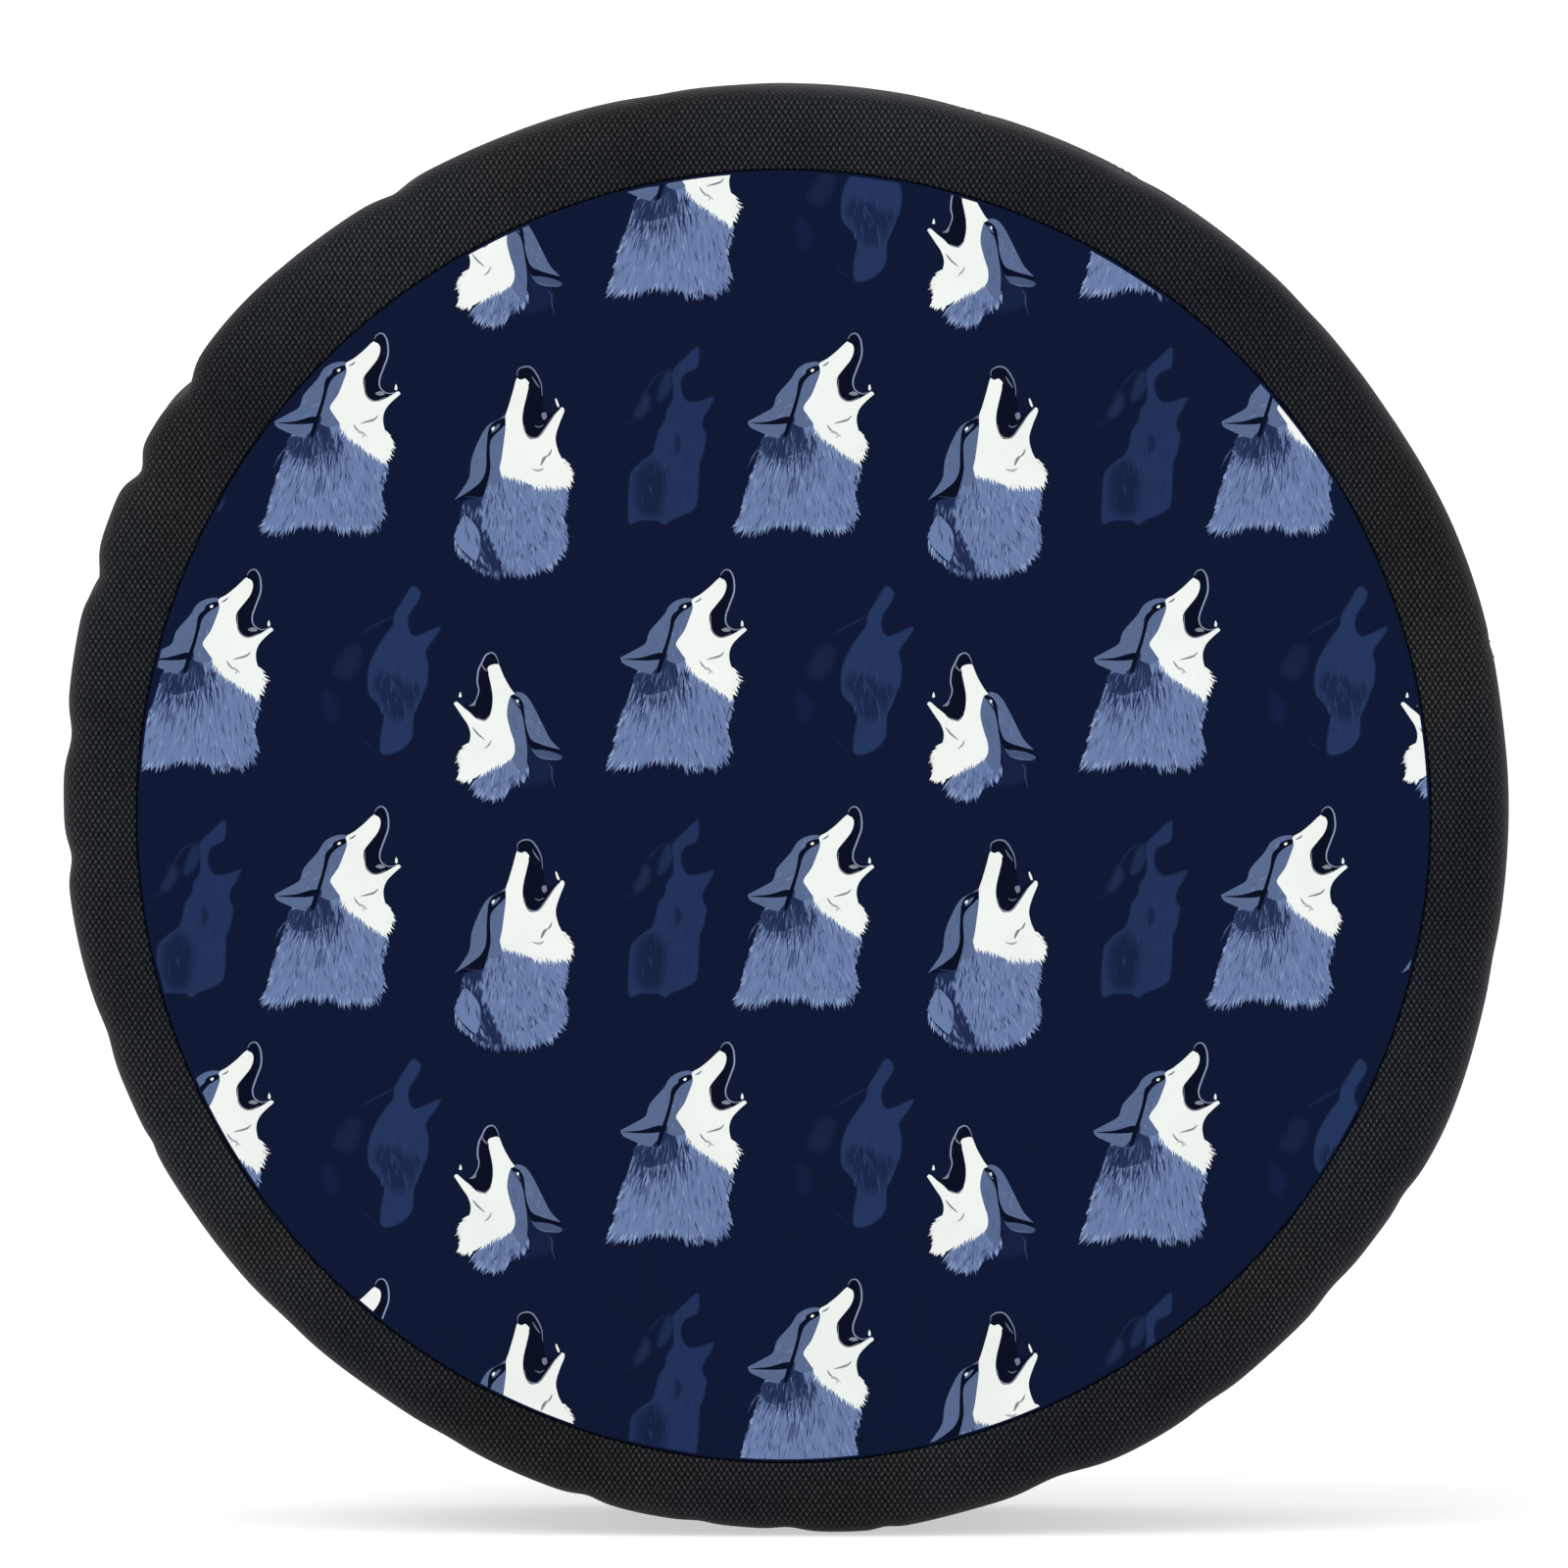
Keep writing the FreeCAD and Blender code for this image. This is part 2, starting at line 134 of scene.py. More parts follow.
def round_curve(table, degrees):
    """A closed smooth curve through (angle, value) points, read at one angle."""
    degrees %= 360
    n = len(table)
    i = max((k for k in range(n) if table[k][0] <= degrees), default=n - 1)

    def at(k):
        return table[k % n][0] + 360 * (k // n), table[k % n][1]

    if table[0][0] > degrees:
        i -= n
    (a0, v0), (a1, v1), (a2, v2), (a3, v3) = at(i - 1), at(i), at(i + 1), at(i + 2)
    t = (degrees - a1) / (a2 - a1)
    m1 = (v2 - v0) / (a2 - a0) * (a2 - a1)
    m2 = (v3 - v1) / (a3 - a1) * (a2 - a1)
    t2 = t * t
    t3 = t2 * t
    return (2 * t3 - 3 * t2 + 1) * v1 + (t3 - 2 * t2 + t) * m1 + (3 * t2 - 2 * t3) * v2 + (t3 - t2) * m2


def polar(degrees, radius, y):
    a = math.radians(degrees)
    return Vector((math.cos(a) * radius, y, math.sin(a) * radius))


def new_object(name, mesh):
    obj = bpy.data.objects.new(name, mesh)
    bpy.context.scene.collection.objects.link(obj)
    return obj


def grid_object(name, rows, uv_layers, closed=False, turn=False):
    """A quad grid. rows is a list of equally long lists of points; each uv layer has the same shape,
    with one more column where the grid is closed."""
    height = len(rows)
    width = len(rows[0])
    columns = width if closed else width - 1
    verts = [p for row in rows for p in row]
    faces = []
    corners = []
    for i in range(height - 1):
        for j in range(columns):
            k = (j + 1) % width
            quad = [(i, j), (i, j + 1), (i + 1, j + 1), (i + 1, j)]
            face = [i * width + j, i * width + k, (i + 1) * width + k, (i + 1) * width + j]
            if turn:
                quad.reverse()
                face.reverse()
            faces.append(face)
            corners.extend(quad)
    mesh = bpy.data.meshes.new(name)
    mesh.from_pydata(verts, [], faces)
    for layer_name, table in uv_layers.items():
        layer = mesh.uv_layers.new(name=layer_name)
        flat = []
        for i, j in corners:
            flat.extend(table[i][j])
        layer.data.foreach_set("uv", flat)
    mesh.shade_smooth()
    mesh.update()
    return new_object(name, mesh)


def settle(obj):
    """Applies the object's modifiers."""
    graph = bpy.context.evaluated_depsgraph_get()
    mesh = bpy.data.meshes.new_from_object(obj.evaluated_get(graph))
    old = obj.data
    obj.modifiers.clear()
    obj.data = mesh
    bpy.data.meshes.remove(old)
    return obj


def thicken(obj, thickness, inside_material=0):
    """Gives a sheet its thickness, on the side away from its normals."""
    solid = obj.modifiers.new("thickness", "SOLIDIFY")
    solid.thickness = thickness
    solid.offset = -1
    solid.material_offset = inside_material
    return settle(obj)


def dress(obj, slot, *materials):
    """Gives a piece its materials and ties it to the frame."""
    obj.data.materials.clear()
    for material in materials:
        obj.data.materials.append(material)
    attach(obj, "root")
    return obj


# ---------------------------------------------------------------- the cover's shape

# How far the side band stands out from the axis, in millimetres, at angles round it.
BULGE = [
    (0, 370.7), (11, 371.3), (23, 372.6), (36, 370.8), (50, 371.6), (64, 370.8), (90, 372.3), (110, 374.4),
    (125, 377.6), (138, 380.8), (147, 379.2), (156, 378), (166, 373.6), (178, 369.2), (188, 368.4),
    (197, 366.6), (208, 366), (222, 365.2), (234, 363.6), (244, 364.4), (257, 366.4), (268, 366.8),
    (278, 370.6), (287, 370.2), (300, 372.6), (314, 372.8), (324, 372.6), (335, 374.8), (345, 371.6),
]
# Small tucks across the side band: angle, depth in millimetres, half width in degrees.
TUCKS = [(13, 0.6, 0.7), (43, 0.5, 2.0), (61.5, 0.9, 1.6), (74, 0.5, 1.6), (101, 0.6, 2.2),
    (122.4, 2.4, 1.7), (144, 4.8, 1.6), (152.6, 5.6, 1.3), (160.6, 4.6, 1.7), (174.4, 3.2, 1.9),
    (182.9, 2.8, 1.5), (198.7, 1.6, 2.0), (206.9, 0.9, 0.9), (226, 0.8, 2.6), (241, 0.7, 2.0),
    (254.5, 1.6, 1.2), (262.5, 0.9, 1.2), (271, 1.6, 1.4), (277.5, 1.2, 0.9), (293, 3.0, 3.0),
    (305, 0.8, 1.8), (319.6, 1.6, 2.0), (327.8, 1.2, 1.4), (349, 0.6, 2.0)]
SHOULDER_DEPTH = 46 * MM
SHOULDER_POWER = 2.8
FOOT_RADIUS = PANEL_RADIUS + 0.4 * MM
ROUNDING = 1.5 * MM


def tuck_depth(degrees, y):
    """How deep the tucks are here. Each leans a little to one side along the band."""
    total = 0.0
    lean = (y + 0.02) * 14
    for index, (angle, depth, half) in enumerate(TUCKS):
        tilt = lean * (1 if index % 2 else -1) * 0.8
        gap = (degrees - angle - tilt + 180) % 360 - 180
        if abs(gap) < 4 * half:
            total += depth * hump(gap, 0, half)
    return total * MM


def side_radius(degrees, y):
    """The outside of the side band, from the shoulder to its rear edge."""
    base = round_curve(BULGE, degrees) * MM
    rear = ease(y, 0.025, BAND_EDGE_Y)
    radius = base + (0.369 + 0.45 * (base - 0.369) - base) * rear
    radius -= tuck_depth(degrees, y) * (1 - 0.55 * rear)
    wander = ring_noise(degrees, 26, y * 11, 1) * 0.55
    drag = ring_noise(degrees + y * 90, 58, y * 5, 2) * 0.32
    cross = ring_noise(degrees - y * 120, 75, y * 6, 3) * 0.22
    pucker = ring_noise(degrees, 230, y * 25, 4) * 0.75 * ease(y, 0.045, BAND_EDGE_Y - 0.004)
    seam = 0.5 * hump(y, LAP_Y + 0.007, 0.0045)
    return radius + (wander + drag + cross + pucker - seam) * MM


def band_profile(degrees):
    """Points of the side band's outside from its turned-in front edge to its rear edge,
    with the share of the front ring's flat weave at each."""
    points = []
    for k in range(4):
        y = LIP_Y + (FACE_Y + ROUNDING - LIP_Y) * k / 3
        points.append((FOOT_RADIUS, y, 1.0))
    for k in range(1, 5):
        a = math.pi / 2 * k / 4
        points.append((FOOT_RADIUS + ROUNDING * (1 - math.cos(a)), FACE_Y + ROUNDING * (1 - math.sin(a)),
            1.0))
    start = FOOT_RADIUS + ROUNDING
    turn_y = FACE_Y + SHOULDER_DEPTH
    top = side_radius(degrees, turn_y)
    steps = 17
    for k in range(1, steps + 1):
        a = math.pi / 2 * k / steps
        across = math.sin(a) ** (2 / SHOULDER_POWER)
        down = 1 - max(math.cos(a), 0.0) ** (2 / SHOULDER_POWER)
        radius = start + (top - start) * across
        y = FACE_Y + SHOULDER_DEPTH * down
        out = radius - start
        near = math.exp(-out / 0.007)
        pucker = ring_noise(degrees, 210, out * 30, 5) * 0.55 * near * ease(out, 0, 0.002)
        soft = ring_noise(degrees, 30, out * 22, 6) * 0.5 + ring_noise(degrees, 64, out * 18, 7) * 0.25
        crease = tuck_depth(degrees, y) / MM * 0.4 * ease(out, 0.006, 0.024)
        lift = (pucker + (soft * ease(out, 0.001, 0.014) - crease) * (1 - ease(across, 0.9, 1.0))) * MM
        points.append((radius, y - lift, 1 - ease(y, FACE_Y + 0.009, FACE_Y + 0.024)))
    for k in range(1, 23):
        y = turn_y + (BAND_EDGE_Y - turn_y) * k / 22
        points.append((side_radius(degrees, y), y, 0.0))
    return points


def band_half(name, node, first, materials):
    """Half of the side band, one strip of cloth from join to join."""
    columns = 460
    gap = 0.004
    rows = None
    for j in range(columns + 1):
        degrees = first + gap + (180 - 2 * gap) * j / columns
        profile = band_profile(degrees)
        if rows is None:
            rows, strip, front, share = ([[] for _ in profile] for _ in range(4))
        length = 0.0
        previous = None
        for i, (radius, y, flat) in enumerate(profile):
            point = polar(degrees, radius, y)
            if previous is not None:
                length += math.hypot(radius - previous[0], y - previous[1])
            previous = (radius, y)
            rows[i].append(point)
            strip[i].append((math.radians(degrees) * 36.9, length * 100))
            front[i].append((point.x * 100, point.z * 100))
            share[i].append((flat, 0.0))
    obj = grid_object(name, rows, {"strip": strip, "front": front, "share": share}, turn=True)
    dress(obj, "black_oxford", *materials)
    thicken(obj, CLOTH, 1)
    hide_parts(node)


def tube_mesh(verts, faces, path, normals, radius, sides=4):
    """Adds one stitch: a thin closed tube along a short path."""
    first = len(verts)
    count = len(path)
    for i, point in enumerate(path):
        ahead = path[min(i + 1, count - 1)] - path[max(i - 1, 0)]
        ahead.normalize()
        up = (normals[i] - ahead * normals[i].dot(ahead)).normalized()
        side = ahead.cross(up)
        size = radius * (0.45 if i in (0, count - 1) else 1.0)
        for k in range(sides):
            a = 2 * math.pi * (k + 0.5) / sides
            verts.append(point + side * math.cos(a) * size * 1.15 + up * math.sin(a) * size)
    for i in range(count - 1):
        for k in range(sides):
            m = (k + 1) % sides
            faces.append([first + i * sides + k, first + (i + 1) * sides + k,
                          first + (i + 1) * sides + m, first + i * sides + m])
    faces.append([first + k for k in range(sides)])
    faces.append([first + (count - 1) * sides + k for k in range(sides - 1, -1, -1)])


def walk(line, pitch):
    """Cuts a line of (point, normal) samples into stitches of one pitch."""
    lengths = [0.0]
    for a, b in zip(line, line[1:]):
        lengths.append(lengths[-1] + (b[0] - a[0]).length)
    count = max(1, round(lengths[-1] / pitch))
    step = lengths[-1] / count

    def at(distance, k):
        while k < len(lengths) - 2 and lengths[k + 1] < distance:
            k += 1
        span = lengths[k + 1] - lengths[k] or 1.0
        t = clamp((distance - lengths[k]) / span)
        return line[k][0].lerp(line[k + 1][0], t), line[k][1].lerp(line[k + 1][1], t).normalized(), k

    k = 0
    for s in range(count):
        parts = []
        for share in (0.07, 0.3, 0.7, 0.93):
            point, normal, k = at((s + share) * step, k)
            parts.append((point, normal, share))
        yield parts


def stitches(name, lines, material, slot, nodes, pitch=4.2 * MM, radius=0.32 * MM, rise=0.28 * MM):
    """Rows of sewing stitches. Each line is a list of (point on the cloth, normal)."""
    verts = []
    faces = []
    for line in lines:
        for parts in walk(line, pitch):
            path = []
            normals = []
            for point, normal, share in parts:
                sunk = -0.12 * MM if share in (0.07, 0.93) else rise
                path.append(point + normal * sunk)
                normals.append(normal)
            tube_mesh(verts, faces, path, normals, radius)
    mesh = bpy.data.meshes.new(name)
    mesh.from_pydata(verts, [], faces)
    mesh.shade_smooth()
    obj = new_object(name, mesh)
    dress(obj, slot, material)
    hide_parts(*nodes)


def ring_line(radius, y, normal_out, steps=720):
    """A round line of stitches; normal_out is +1 for outwards and -1 for inwards."""
    line = []
    for k in range(steps + 1):
        degrees = 360 * k / steps
        outward = polar(degrees, 1, 0)
        line.append((outward * radius(degrees) + Vector((0, y, 0)), outward * normal_out))
    return line


# ---------------------------------------------------------------- rear skirt and hem

SKIRT_COLUMNS = 720
LAP = 16 * MM
TURN_RADIUS = 30 * MM
SEWN = 12 * MM             # how much of the skirt lies on the hem's tail
LAP_GAP = CLOTH + 0.15 * MM


def ruffle(degrees):
    """The small ruffles of the hem, which only stand out from the back."""
    wave = math.cos(math.radians(degrees) * 118 + 2.2 * ring_noise(degrees, 40, 0, 11))
    size = 1.25 + 0.55 * ring_noise(degrees, 90, 0, 12)
    return (1 + wave) * size * MM


def lap_radius(degrees):
    """The outside of the skirt where it lies inside the band."""
    return side_radius(degrees, LAP_Y + 0.007) + 0.5 * MM - LAP_GAP


def skirt_base(degrees, along):
    """A point of the skirt's outside before it is gathered, its outward normal, and its radius."""
    lap = lap_radius(degrees)
    centre = lap - TURN_RADIUS
    quarter = TURN_RADIUS * math.pi / 2
    end = CASING_RADIUS + 0.3 * MM
    if along <= LAP:
        return polar(degrees, lap, LAP_Y + along), polar(degrees, 1, 0), lap
    if along <= LAP + quarter:
        a = (along - LAP) / TURN_RADIUS
        radius = centre + TURN_RADIUS * math.cos(a)
        y = BACK_Y - TURN_RADIUS + TURN_RADIUS * math.sin(a)
        return polar(degrees, radius, y), polar(degrees, math.cos(a), math.sin(a)), radius
    share = (along - LAP - quarter) / (skirt_length() - LAP - quarter)
    radius = centre + (end - centre) * share
    return polar(degrees, radius, BACK_Y), Vector((0, 1, 0)), radius


def skirt_length():
    """From the lap's edge to the casing, over the cloth."""
    middle = 367 * MM - TURN_RADIUS
    return LAP + TURN_RADIUS * math.pi / 2 + middle - CASING_RADIUS


def folds(degrees, radius):
    """How far the gathered cloth stands out: broad folds near the tread that split towards the hem."""
    a = math.radians(degrees)
    drift = 1.7 * ring_noise(degrees, 24, radius * 6, 13)
    broad = math.cos(a * 33 + drift)
    middle = math.cos(a * 67 + 2.1 * ring_noise(degrees, 30, radius * 6, 14))
    wide = 7.5 * hump(radius, 0.316, 0.03) * (1 + 0.55 * ring_noise(degrees, 20, 0, 15))
    narrow = 6.5 * hump(radius, 0.281, 0.024) * (1 + 0.55 * ring_noise(degrees, 44, 0, 16))
    tight = ruffle(degrees) / MM * ease(-radius, -0.29, -0.262)
    lift = wide * (1 + broad) * 0.62 + narrow * (1 + middle) * 0.62 + tight
    lift = 13 * math.tanh(lift / 13)
    return lift * MM * ease(-radius, -0.362, -0.335)


def skirt_rows(sampled):
    """The skirt's outside as rows of points from the lap to the hem."""
    rows = []
    for along in sampled:
        row = []
        for j in range(SKIRT_COLUMNS):
            degrees = 90 + 360 * j / SKIRT_COLUMNS
            point, normal, radius = skirt_base(degrees, along)
            row.append(point + normal * folds(degrees, radius))
        rows.append(row)
    return rows


def skirt_samples():
    """Where the skirt's rows of points are, measured along the cloth."""
    total = skirt_length()
    count = 34
    return [total * i / count for i in range(count + 1)]


def grid_normal(rows, i, j):
    """The outward normal of a grid that is closed along its rows."""
    width = len(rows[0])
    across = rows[i][(j + 1) % width] - rows[i][(j - 1) % width]
    along = rows[min(i + 1, len(rows) - 1)][j] - rows[max(i - 1, 0)][j]
    return along.cross(across).normalized()


def skirt_half(name, node, rows, sampled, first, materials):
    """Half of the skirt, from the top join to the bottom join or back."""
    half = SKIRT_COLUMNS // 2
    part = []
    strip = []
    for i, row in enumerate(rows):
        line = [row[(first + j) % SKIRT_COLUMNS].copy() for j in range(half + 1)]
        inset = 0.08
        line[0] = line[0].lerp(line[1], inset)
        line[-1] = line[-1].lerp(line[-2], inset)
        part.append(line)
        strip.append([((first + j) * 0.3203, sampled[i] * 100) for j in range(half + 1)])
    blank = [[(0, 0)] * (half + 1)] * len(rows)
    obj = grid_object(name, part, {"strip": strip, "front": strip, "share": blank}, turn=True)
    dress(obj, "black_oxford", *materials)
    thicken(obj, 0.8 * MM, 1)
    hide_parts(node)


def casing_outline():
    """The hem's section from the tail's end round the channel, as (radius, y, share of the ruffle)."""
    low, high = HEM_Y
    inner = MOUTH_RADIUS
    outer = CASING_RADIUS
    tail_end = outer + SEWN - 0.6 * MM
    return [
        (tail_end, high - 2.2 * MM, 1.0), (tail_end - 4 * MM, high - 2.2 * MM, 1.0),
        (tail_end - 8 * MM, high - 2.2 * MM, 1.0), (outer + 0.6 * MM, high - 2.0 * MM, 1.0),
        (outer, high - 2.8 * MM, 0.6), (outer, high - 6 * MM, 0.2), (outer, low + 5 * MM, 0.1),
        (outer - 0.1 * MM, low + 1.6 * MM, 0.1), (outer - 0.9 * MM, low + 0.5 * MM, -0.3),
        (outer - 2.4 * MM, low + 0.1 * MM, -0.6), (inner + 0.9 * MM, low + 0.5 * MM, -0.3),
        (inner + 0.1 * MM, low + 1.6 * MM, 0.0), (inner, low + 5 * MM, 0.0), (inner, high - 5 * MM, 0.3),
        (inner + 0.1 * MM, high - 1.8 * MM, 0.8), (inner + 0.8 * MM, high - 0.5 * MM, 1.0),
        (inner + 2.4 * MM, high, 1.0), (outer - 0.2 * MM, high - 0.3 * MM, 1.0),
    ]


def casing_swell(radius, y, rise):
    """How far the channel's walls swell out over the gathered elastic."""
    low, high = HEM_Y
    wall = (rise / (2.6 * MM)) * 1.1 * MM
    if abs(radius - MOUTH_RADIUS) < 0.5 * MM:
        return -wall * hump(y, (low + high) / 2, 7 * MM)
    if abs(radius - CASING_RADIUS) < 0.5 * MM and y < high - 3 * MM:
        return wall * 0.9 * hump(y, (low + high) / 2, 7 * MM)
    return 0.0


def hem_casing(materials):
    """The hem's channel round the elastic, with the tail that is sewn under the skirt."""
    outline = casing_outline()
    columns = 944
    rises = [ruffle(360 * j / columns) for j in range(columns)]
    rows = []
    strip = []
    run = 0.0
    for i, (radius, y, lift) in enumerate(outline):
        if i:
            run += math.hypot(radius - outline[i - 1][0], y - outline[i - 1][1])
        row = []
        for j, rise in enumerate(rises):
            row.append(polar(360 * j / columns, radius + casing_swell(radius, y, rise), y + rise * lift))
        rows.append(row)
        strip.append([(j * 0.2435, run * 100) for j in range(columns + 1)])
    blank = [[(0, 0)] * (columns + 1)] * len(outline)
    layers = {"strip": strip, "front": strip, "share": blank}
    obj = grid_object("hem_ruched", rows, layers, closed=True, turn=True)
    dress(obj, "black_oxford", *materials)
    thicken(obj, 0.7 * MM, 1)
    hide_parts("hem_casing")


def hem_lines():
    """Two rows of stitches through the skirt and the hem's tail, seen from both sides."""
    lines = []
    for radius in (CASING_RADIUS + 4.1 * MM, CASING_RADIUS + 8.1 * MM):
        for side in (1, -1):
            line = []
            for k in range(1441):
                degrees = k / 4
                if side > 0:
                    height = BACK_Y + folds(degrees, radius)
                else:
                    height = HEM_Y[1] - 2.9 * MM + ruffle(degrees)
                line.append((polar(degrees, radius, height + side * 0.05 * MM), Vector((0, side, 0))))
            lines.append(line)
    return lines


def seam_tape_on_skirt(name, node, rows, sampled, column, materials):
    """The tape sewn inside a skirt join. It follows the cloth it is sewn to."""
    points = []
    strip = []
    for i, along in enumerate(sampled):
        if along < LAP + 1 * MM or along > sampled[-1] - SEWN - 2 * MM:
            continue
        line = []
        for j in range(-3, 4):
            k = (column + j) % SKIRT_COLUMNS
            line.append(rows[i][k] - grid_normal(rows, i, k) * (1.0 * MM))
        points.append(line)
        strip.append([(j * 0.32, along * 100) for j in range(-3, 4)])
    obj = grid_object(name, points, {"strip": strip}, turn=True)
    dress(obj, "binding_tape", *materials)
    thicken(obj, 0.6 * MM)
    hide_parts(node)


def skirt_join_lines(rows, sampled):
    """Two rows of stitches along each of the skirt's joins, seen from both sides."""
    lines = []
    for column in (0, SKIRT_COLUMNS // 2):
        for offset in (-1.25, 1.25):
            for side in (1, -1):
                line = []
                for i, along in enumerate(sampled):
                    if along < LAP + 4 * MM or along > sampled[-1] - SEWN - 3 * MM:
                        continue
                    low = math.floor(column + offset)
                    share = column + offset - low
                    a = rows[i][low % SKIRT_COLUMNS]
                    b = rows[i][(low + 1) % SKIRT_COLUMNS]
                    normal = grid_normal(rows, i, (low + 1) % SKIRT_COLUMNS)
                    depth = 0 if side > 0 else 1.65 * MM
                    line.append((a.lerp(b, share) - normal * depth, normal * side))
                lines.append(line)
    return lines


def tread_tape(name, node, degrees, materials):
    """The tape sewn inside a join of the side band."""
    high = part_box(node)[1].y
    low = max(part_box(node)[0].y, FACE_Y + SHOULDER_DEPTH + 1 * MM)
    points = []
    strip = []
    for i in range(41):
        y = low + (high - low) * i / 40
        line = []
        for j in range(-5, 6):
            spot = degrees + math.degrees(j * 2 * MM / 0.368)
            line.append(polar(spot, side_radius(spot, y) - CLOTH - 0.12 * MM, y))
        points.append(line)
        strip.append([(j * 0.2, y * 100) for j in range(-5, 6)])
    obj = grid_object(name, points, {"strip": strip}, turn=True)
    dress(obj, "binding_tape", *materials)
    thicken(obj, 0.6 * MM)
    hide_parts(node)


def tread_join_lines():
    """Two rows of stitches along each of the side band's joins, seen from both sides."""
    start = FACE_Y + SHOULDER_DEPTH + 4 * MM
    length = LAP_Y - 4 * MM - FACE_Y - SHOULDER_DEPTH
    lines = []
    for join in (FIRST_JOIN, FIRST_JOIN + 180):
        for offset in (-4, 4):
            spot = join + math.degrees(offset * MM / 0.369)
            for side in (1, -1):
                line = []
                for k in range(61):
                    y = start + length * k / 60
                    depth = 0 if side > 0 else CLOTH + 0.72 * MM
                    line.append((polar(spot, side_radius(spot, y) - depth, y), polar(spot, side, 0)))
                lines.append(line)
    return lines


def rear_seam_lines():
    """Two rows of stitches round the lap of the band over the skirt, seen from both sides."""
    lines = []
    for y in (LAP_Y + 4 * MM, LAP_Y + 10 * MM):
        lines.append(ring_line(lambda d, y=y: side_radius(d, y), y, 1, 1080))
        lines.append(ring_line(lambda d: lap_radius(d) - 0.8 * MM, y, -1, 1080))
    return lines


def front_seam_lines():
    """The two sides of the seam that joins the face and the band, on the binding."""
    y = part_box("front_seam_stitching")[0].y + 0.35 * MM
    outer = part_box("front_seam_binding")[1].x
    inner = PANEL_RADIUS - (outer - PANEL_RADIUS) + 0.1 * MM
    return [ring_line(lambda d: outer, y, 1), ring_line(lambda d: inner, y, -1)]


# ---------------------------------------------------------------- care label

def label_spot(across, along):
    """Where a point of the label is, seen from behind."""
    low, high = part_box("care_label")
    middle = Vector(((low.x + high.x) / 2, 0, (low.z + high.z) / 2))
    outward = middle.normalized()
    sideways = Vector((0, 1, 0)).cross(outward)
    return middle + sideways * across + outward * along


def care_label(rows, material):
    """The blank label. It lies over the tops of the folds under it."""
    width = 32 * MM
    length = 48 * MM
    near = 4 * MM
    low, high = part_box("care_label")
    reach = []
    for row in rows:
        for point in row:
            beside = low.x - near < point.x < high.x + near
            if beside and low.z - near < point.z < high.z + near:
                reach.append(point.y)
    top = sorted(reach)[int(len(reach) * 0.985)]
    points = []
    strip = []
    for i in range(25):
        line = []
        for j in range(17):
            across = width * (j / 16 - 0.5)
            along = length * (i / 24 - 0.5)
            spot = label_spot(across, along)
            bend = 0.9 * math.sin(across * 160 + 0.6) + 0.7 * rough(across * 60, along * 50, 21)
            lift = 1.6 * ease(along, 0.0, length / 2) * (0.5 + across / width)
            line.append(Vector((spot.x, top + (0.9 + bend + lift) * MM, spot.z)))
        points.append(line)
        strip.append([(width * j / 16 * 100, length * i / 24 * 100) for j in range(17)])
    obj = grid_object("care_tag", points, {"strip": strip}, turn=True)
    dress(obj, "label_satin", material)
    thicken(obj, 0.3 * MM)
    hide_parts("care_label")
    return points


def label_lines(points):
    """One row of stitches along the label's short edge."""
    return [[(point.copy(), Vector((0, 1, 0))) for point in points[1]]]


# ---------------------------------------------------------------- the print

GROUND = shade(15, 24, 51)
WHITE = shade(237, 242, 238)
FUR = shade(105, 125, 166)
HAIR_LIGHT = shade(134, 153, 191)
HAIR_MID = shade(82, 99, 139)
HAIR_DARK = shade(47, 62, 99)
BROW = shade(88, 105, 141)
INK = shade(9, 15, 34)
DUSK = shade(32, 44, 79)
GREY = shade(128, 134, 142)
RIM = shade(142, 152, 178)
SHADOW = shade(36, 53, 93)
SHADOW_DEEP = shade(26, 38, 73)
SHADOW_FAINT = shade(24, 34, 63)
SHADOW_LIGHT = shade(44, 62, 102)

TILE = 241.5               # millimetres: the print repeats at this step, across and up


def curve(points, closed=True, steps=3, corners=()):
    """A smooth line through the points; the numbered corners stay sharp."""
    n = len(points)
    line = []
    last = n if closed else n - 1
    for i in range(last):
        p0 = points[(i - 1) % n] if closed or i > 0 else points[0]
        p1 = points[i]
        p2 = points[(i + 1) % n]
        p3 = points[(i + 2) % n] if closed or i + 2 < n else points[-1]
        if i in corners:
            p0 = p1
        if (i + 1) % n in corners:
            p3 = p2
        for k in range(steps):
            t = k / steps
            spot = []
            for a, b, c, d in zip(p0, p1, p2, p3):
                spot.append(0.5 * (2 * b + (c - a) * t + (2 * a - 5 * b + 4 * c - d) * t * t
                                   + (3 * b - a - 3 * c + d) * t ** 3))
            line.append(tuple(spot))
    if not closed:
        line.append(tuple(points[-1]))
    return line


def signed_area(points):
    """Positive where the outline runs anticlockwise."""
    total = 0.0
    for (x0, z0), (x1, z1) in zip(points, points[1:] + points[:1]):
        total += x0 * z1 - x1 * z0
    return total / 2


def grown(points, distance):
    """The outline moved outwards by a distance, inwards where it is negative."""
    side = 1 if signed_area(points) > 0 else -1
    moved = []
    n = len(points)
    for i in range(n):
        ax, az = points[i - 1]
        bx, bz = points[(i + 1) % n]
        length = math.hypot(bx - ax, bz - az) or 1.0
        moved.append((points[i][0] + side * (bz - az) / length * distance,
                      points[i][1] - side * (bx - ax) / length * distance))
    return moved


def inside(point, outline):
    x, z = point
    hit = False
    for (x0, z0), (x1, z1) in zip(outline, outline[1:] + outline[:1]):
        if (z0 > z) != (z1 > z) and x < (x1 - x0) * (z - z0) / (z1 - z0) + x0:
            hit = not hit
    return hit


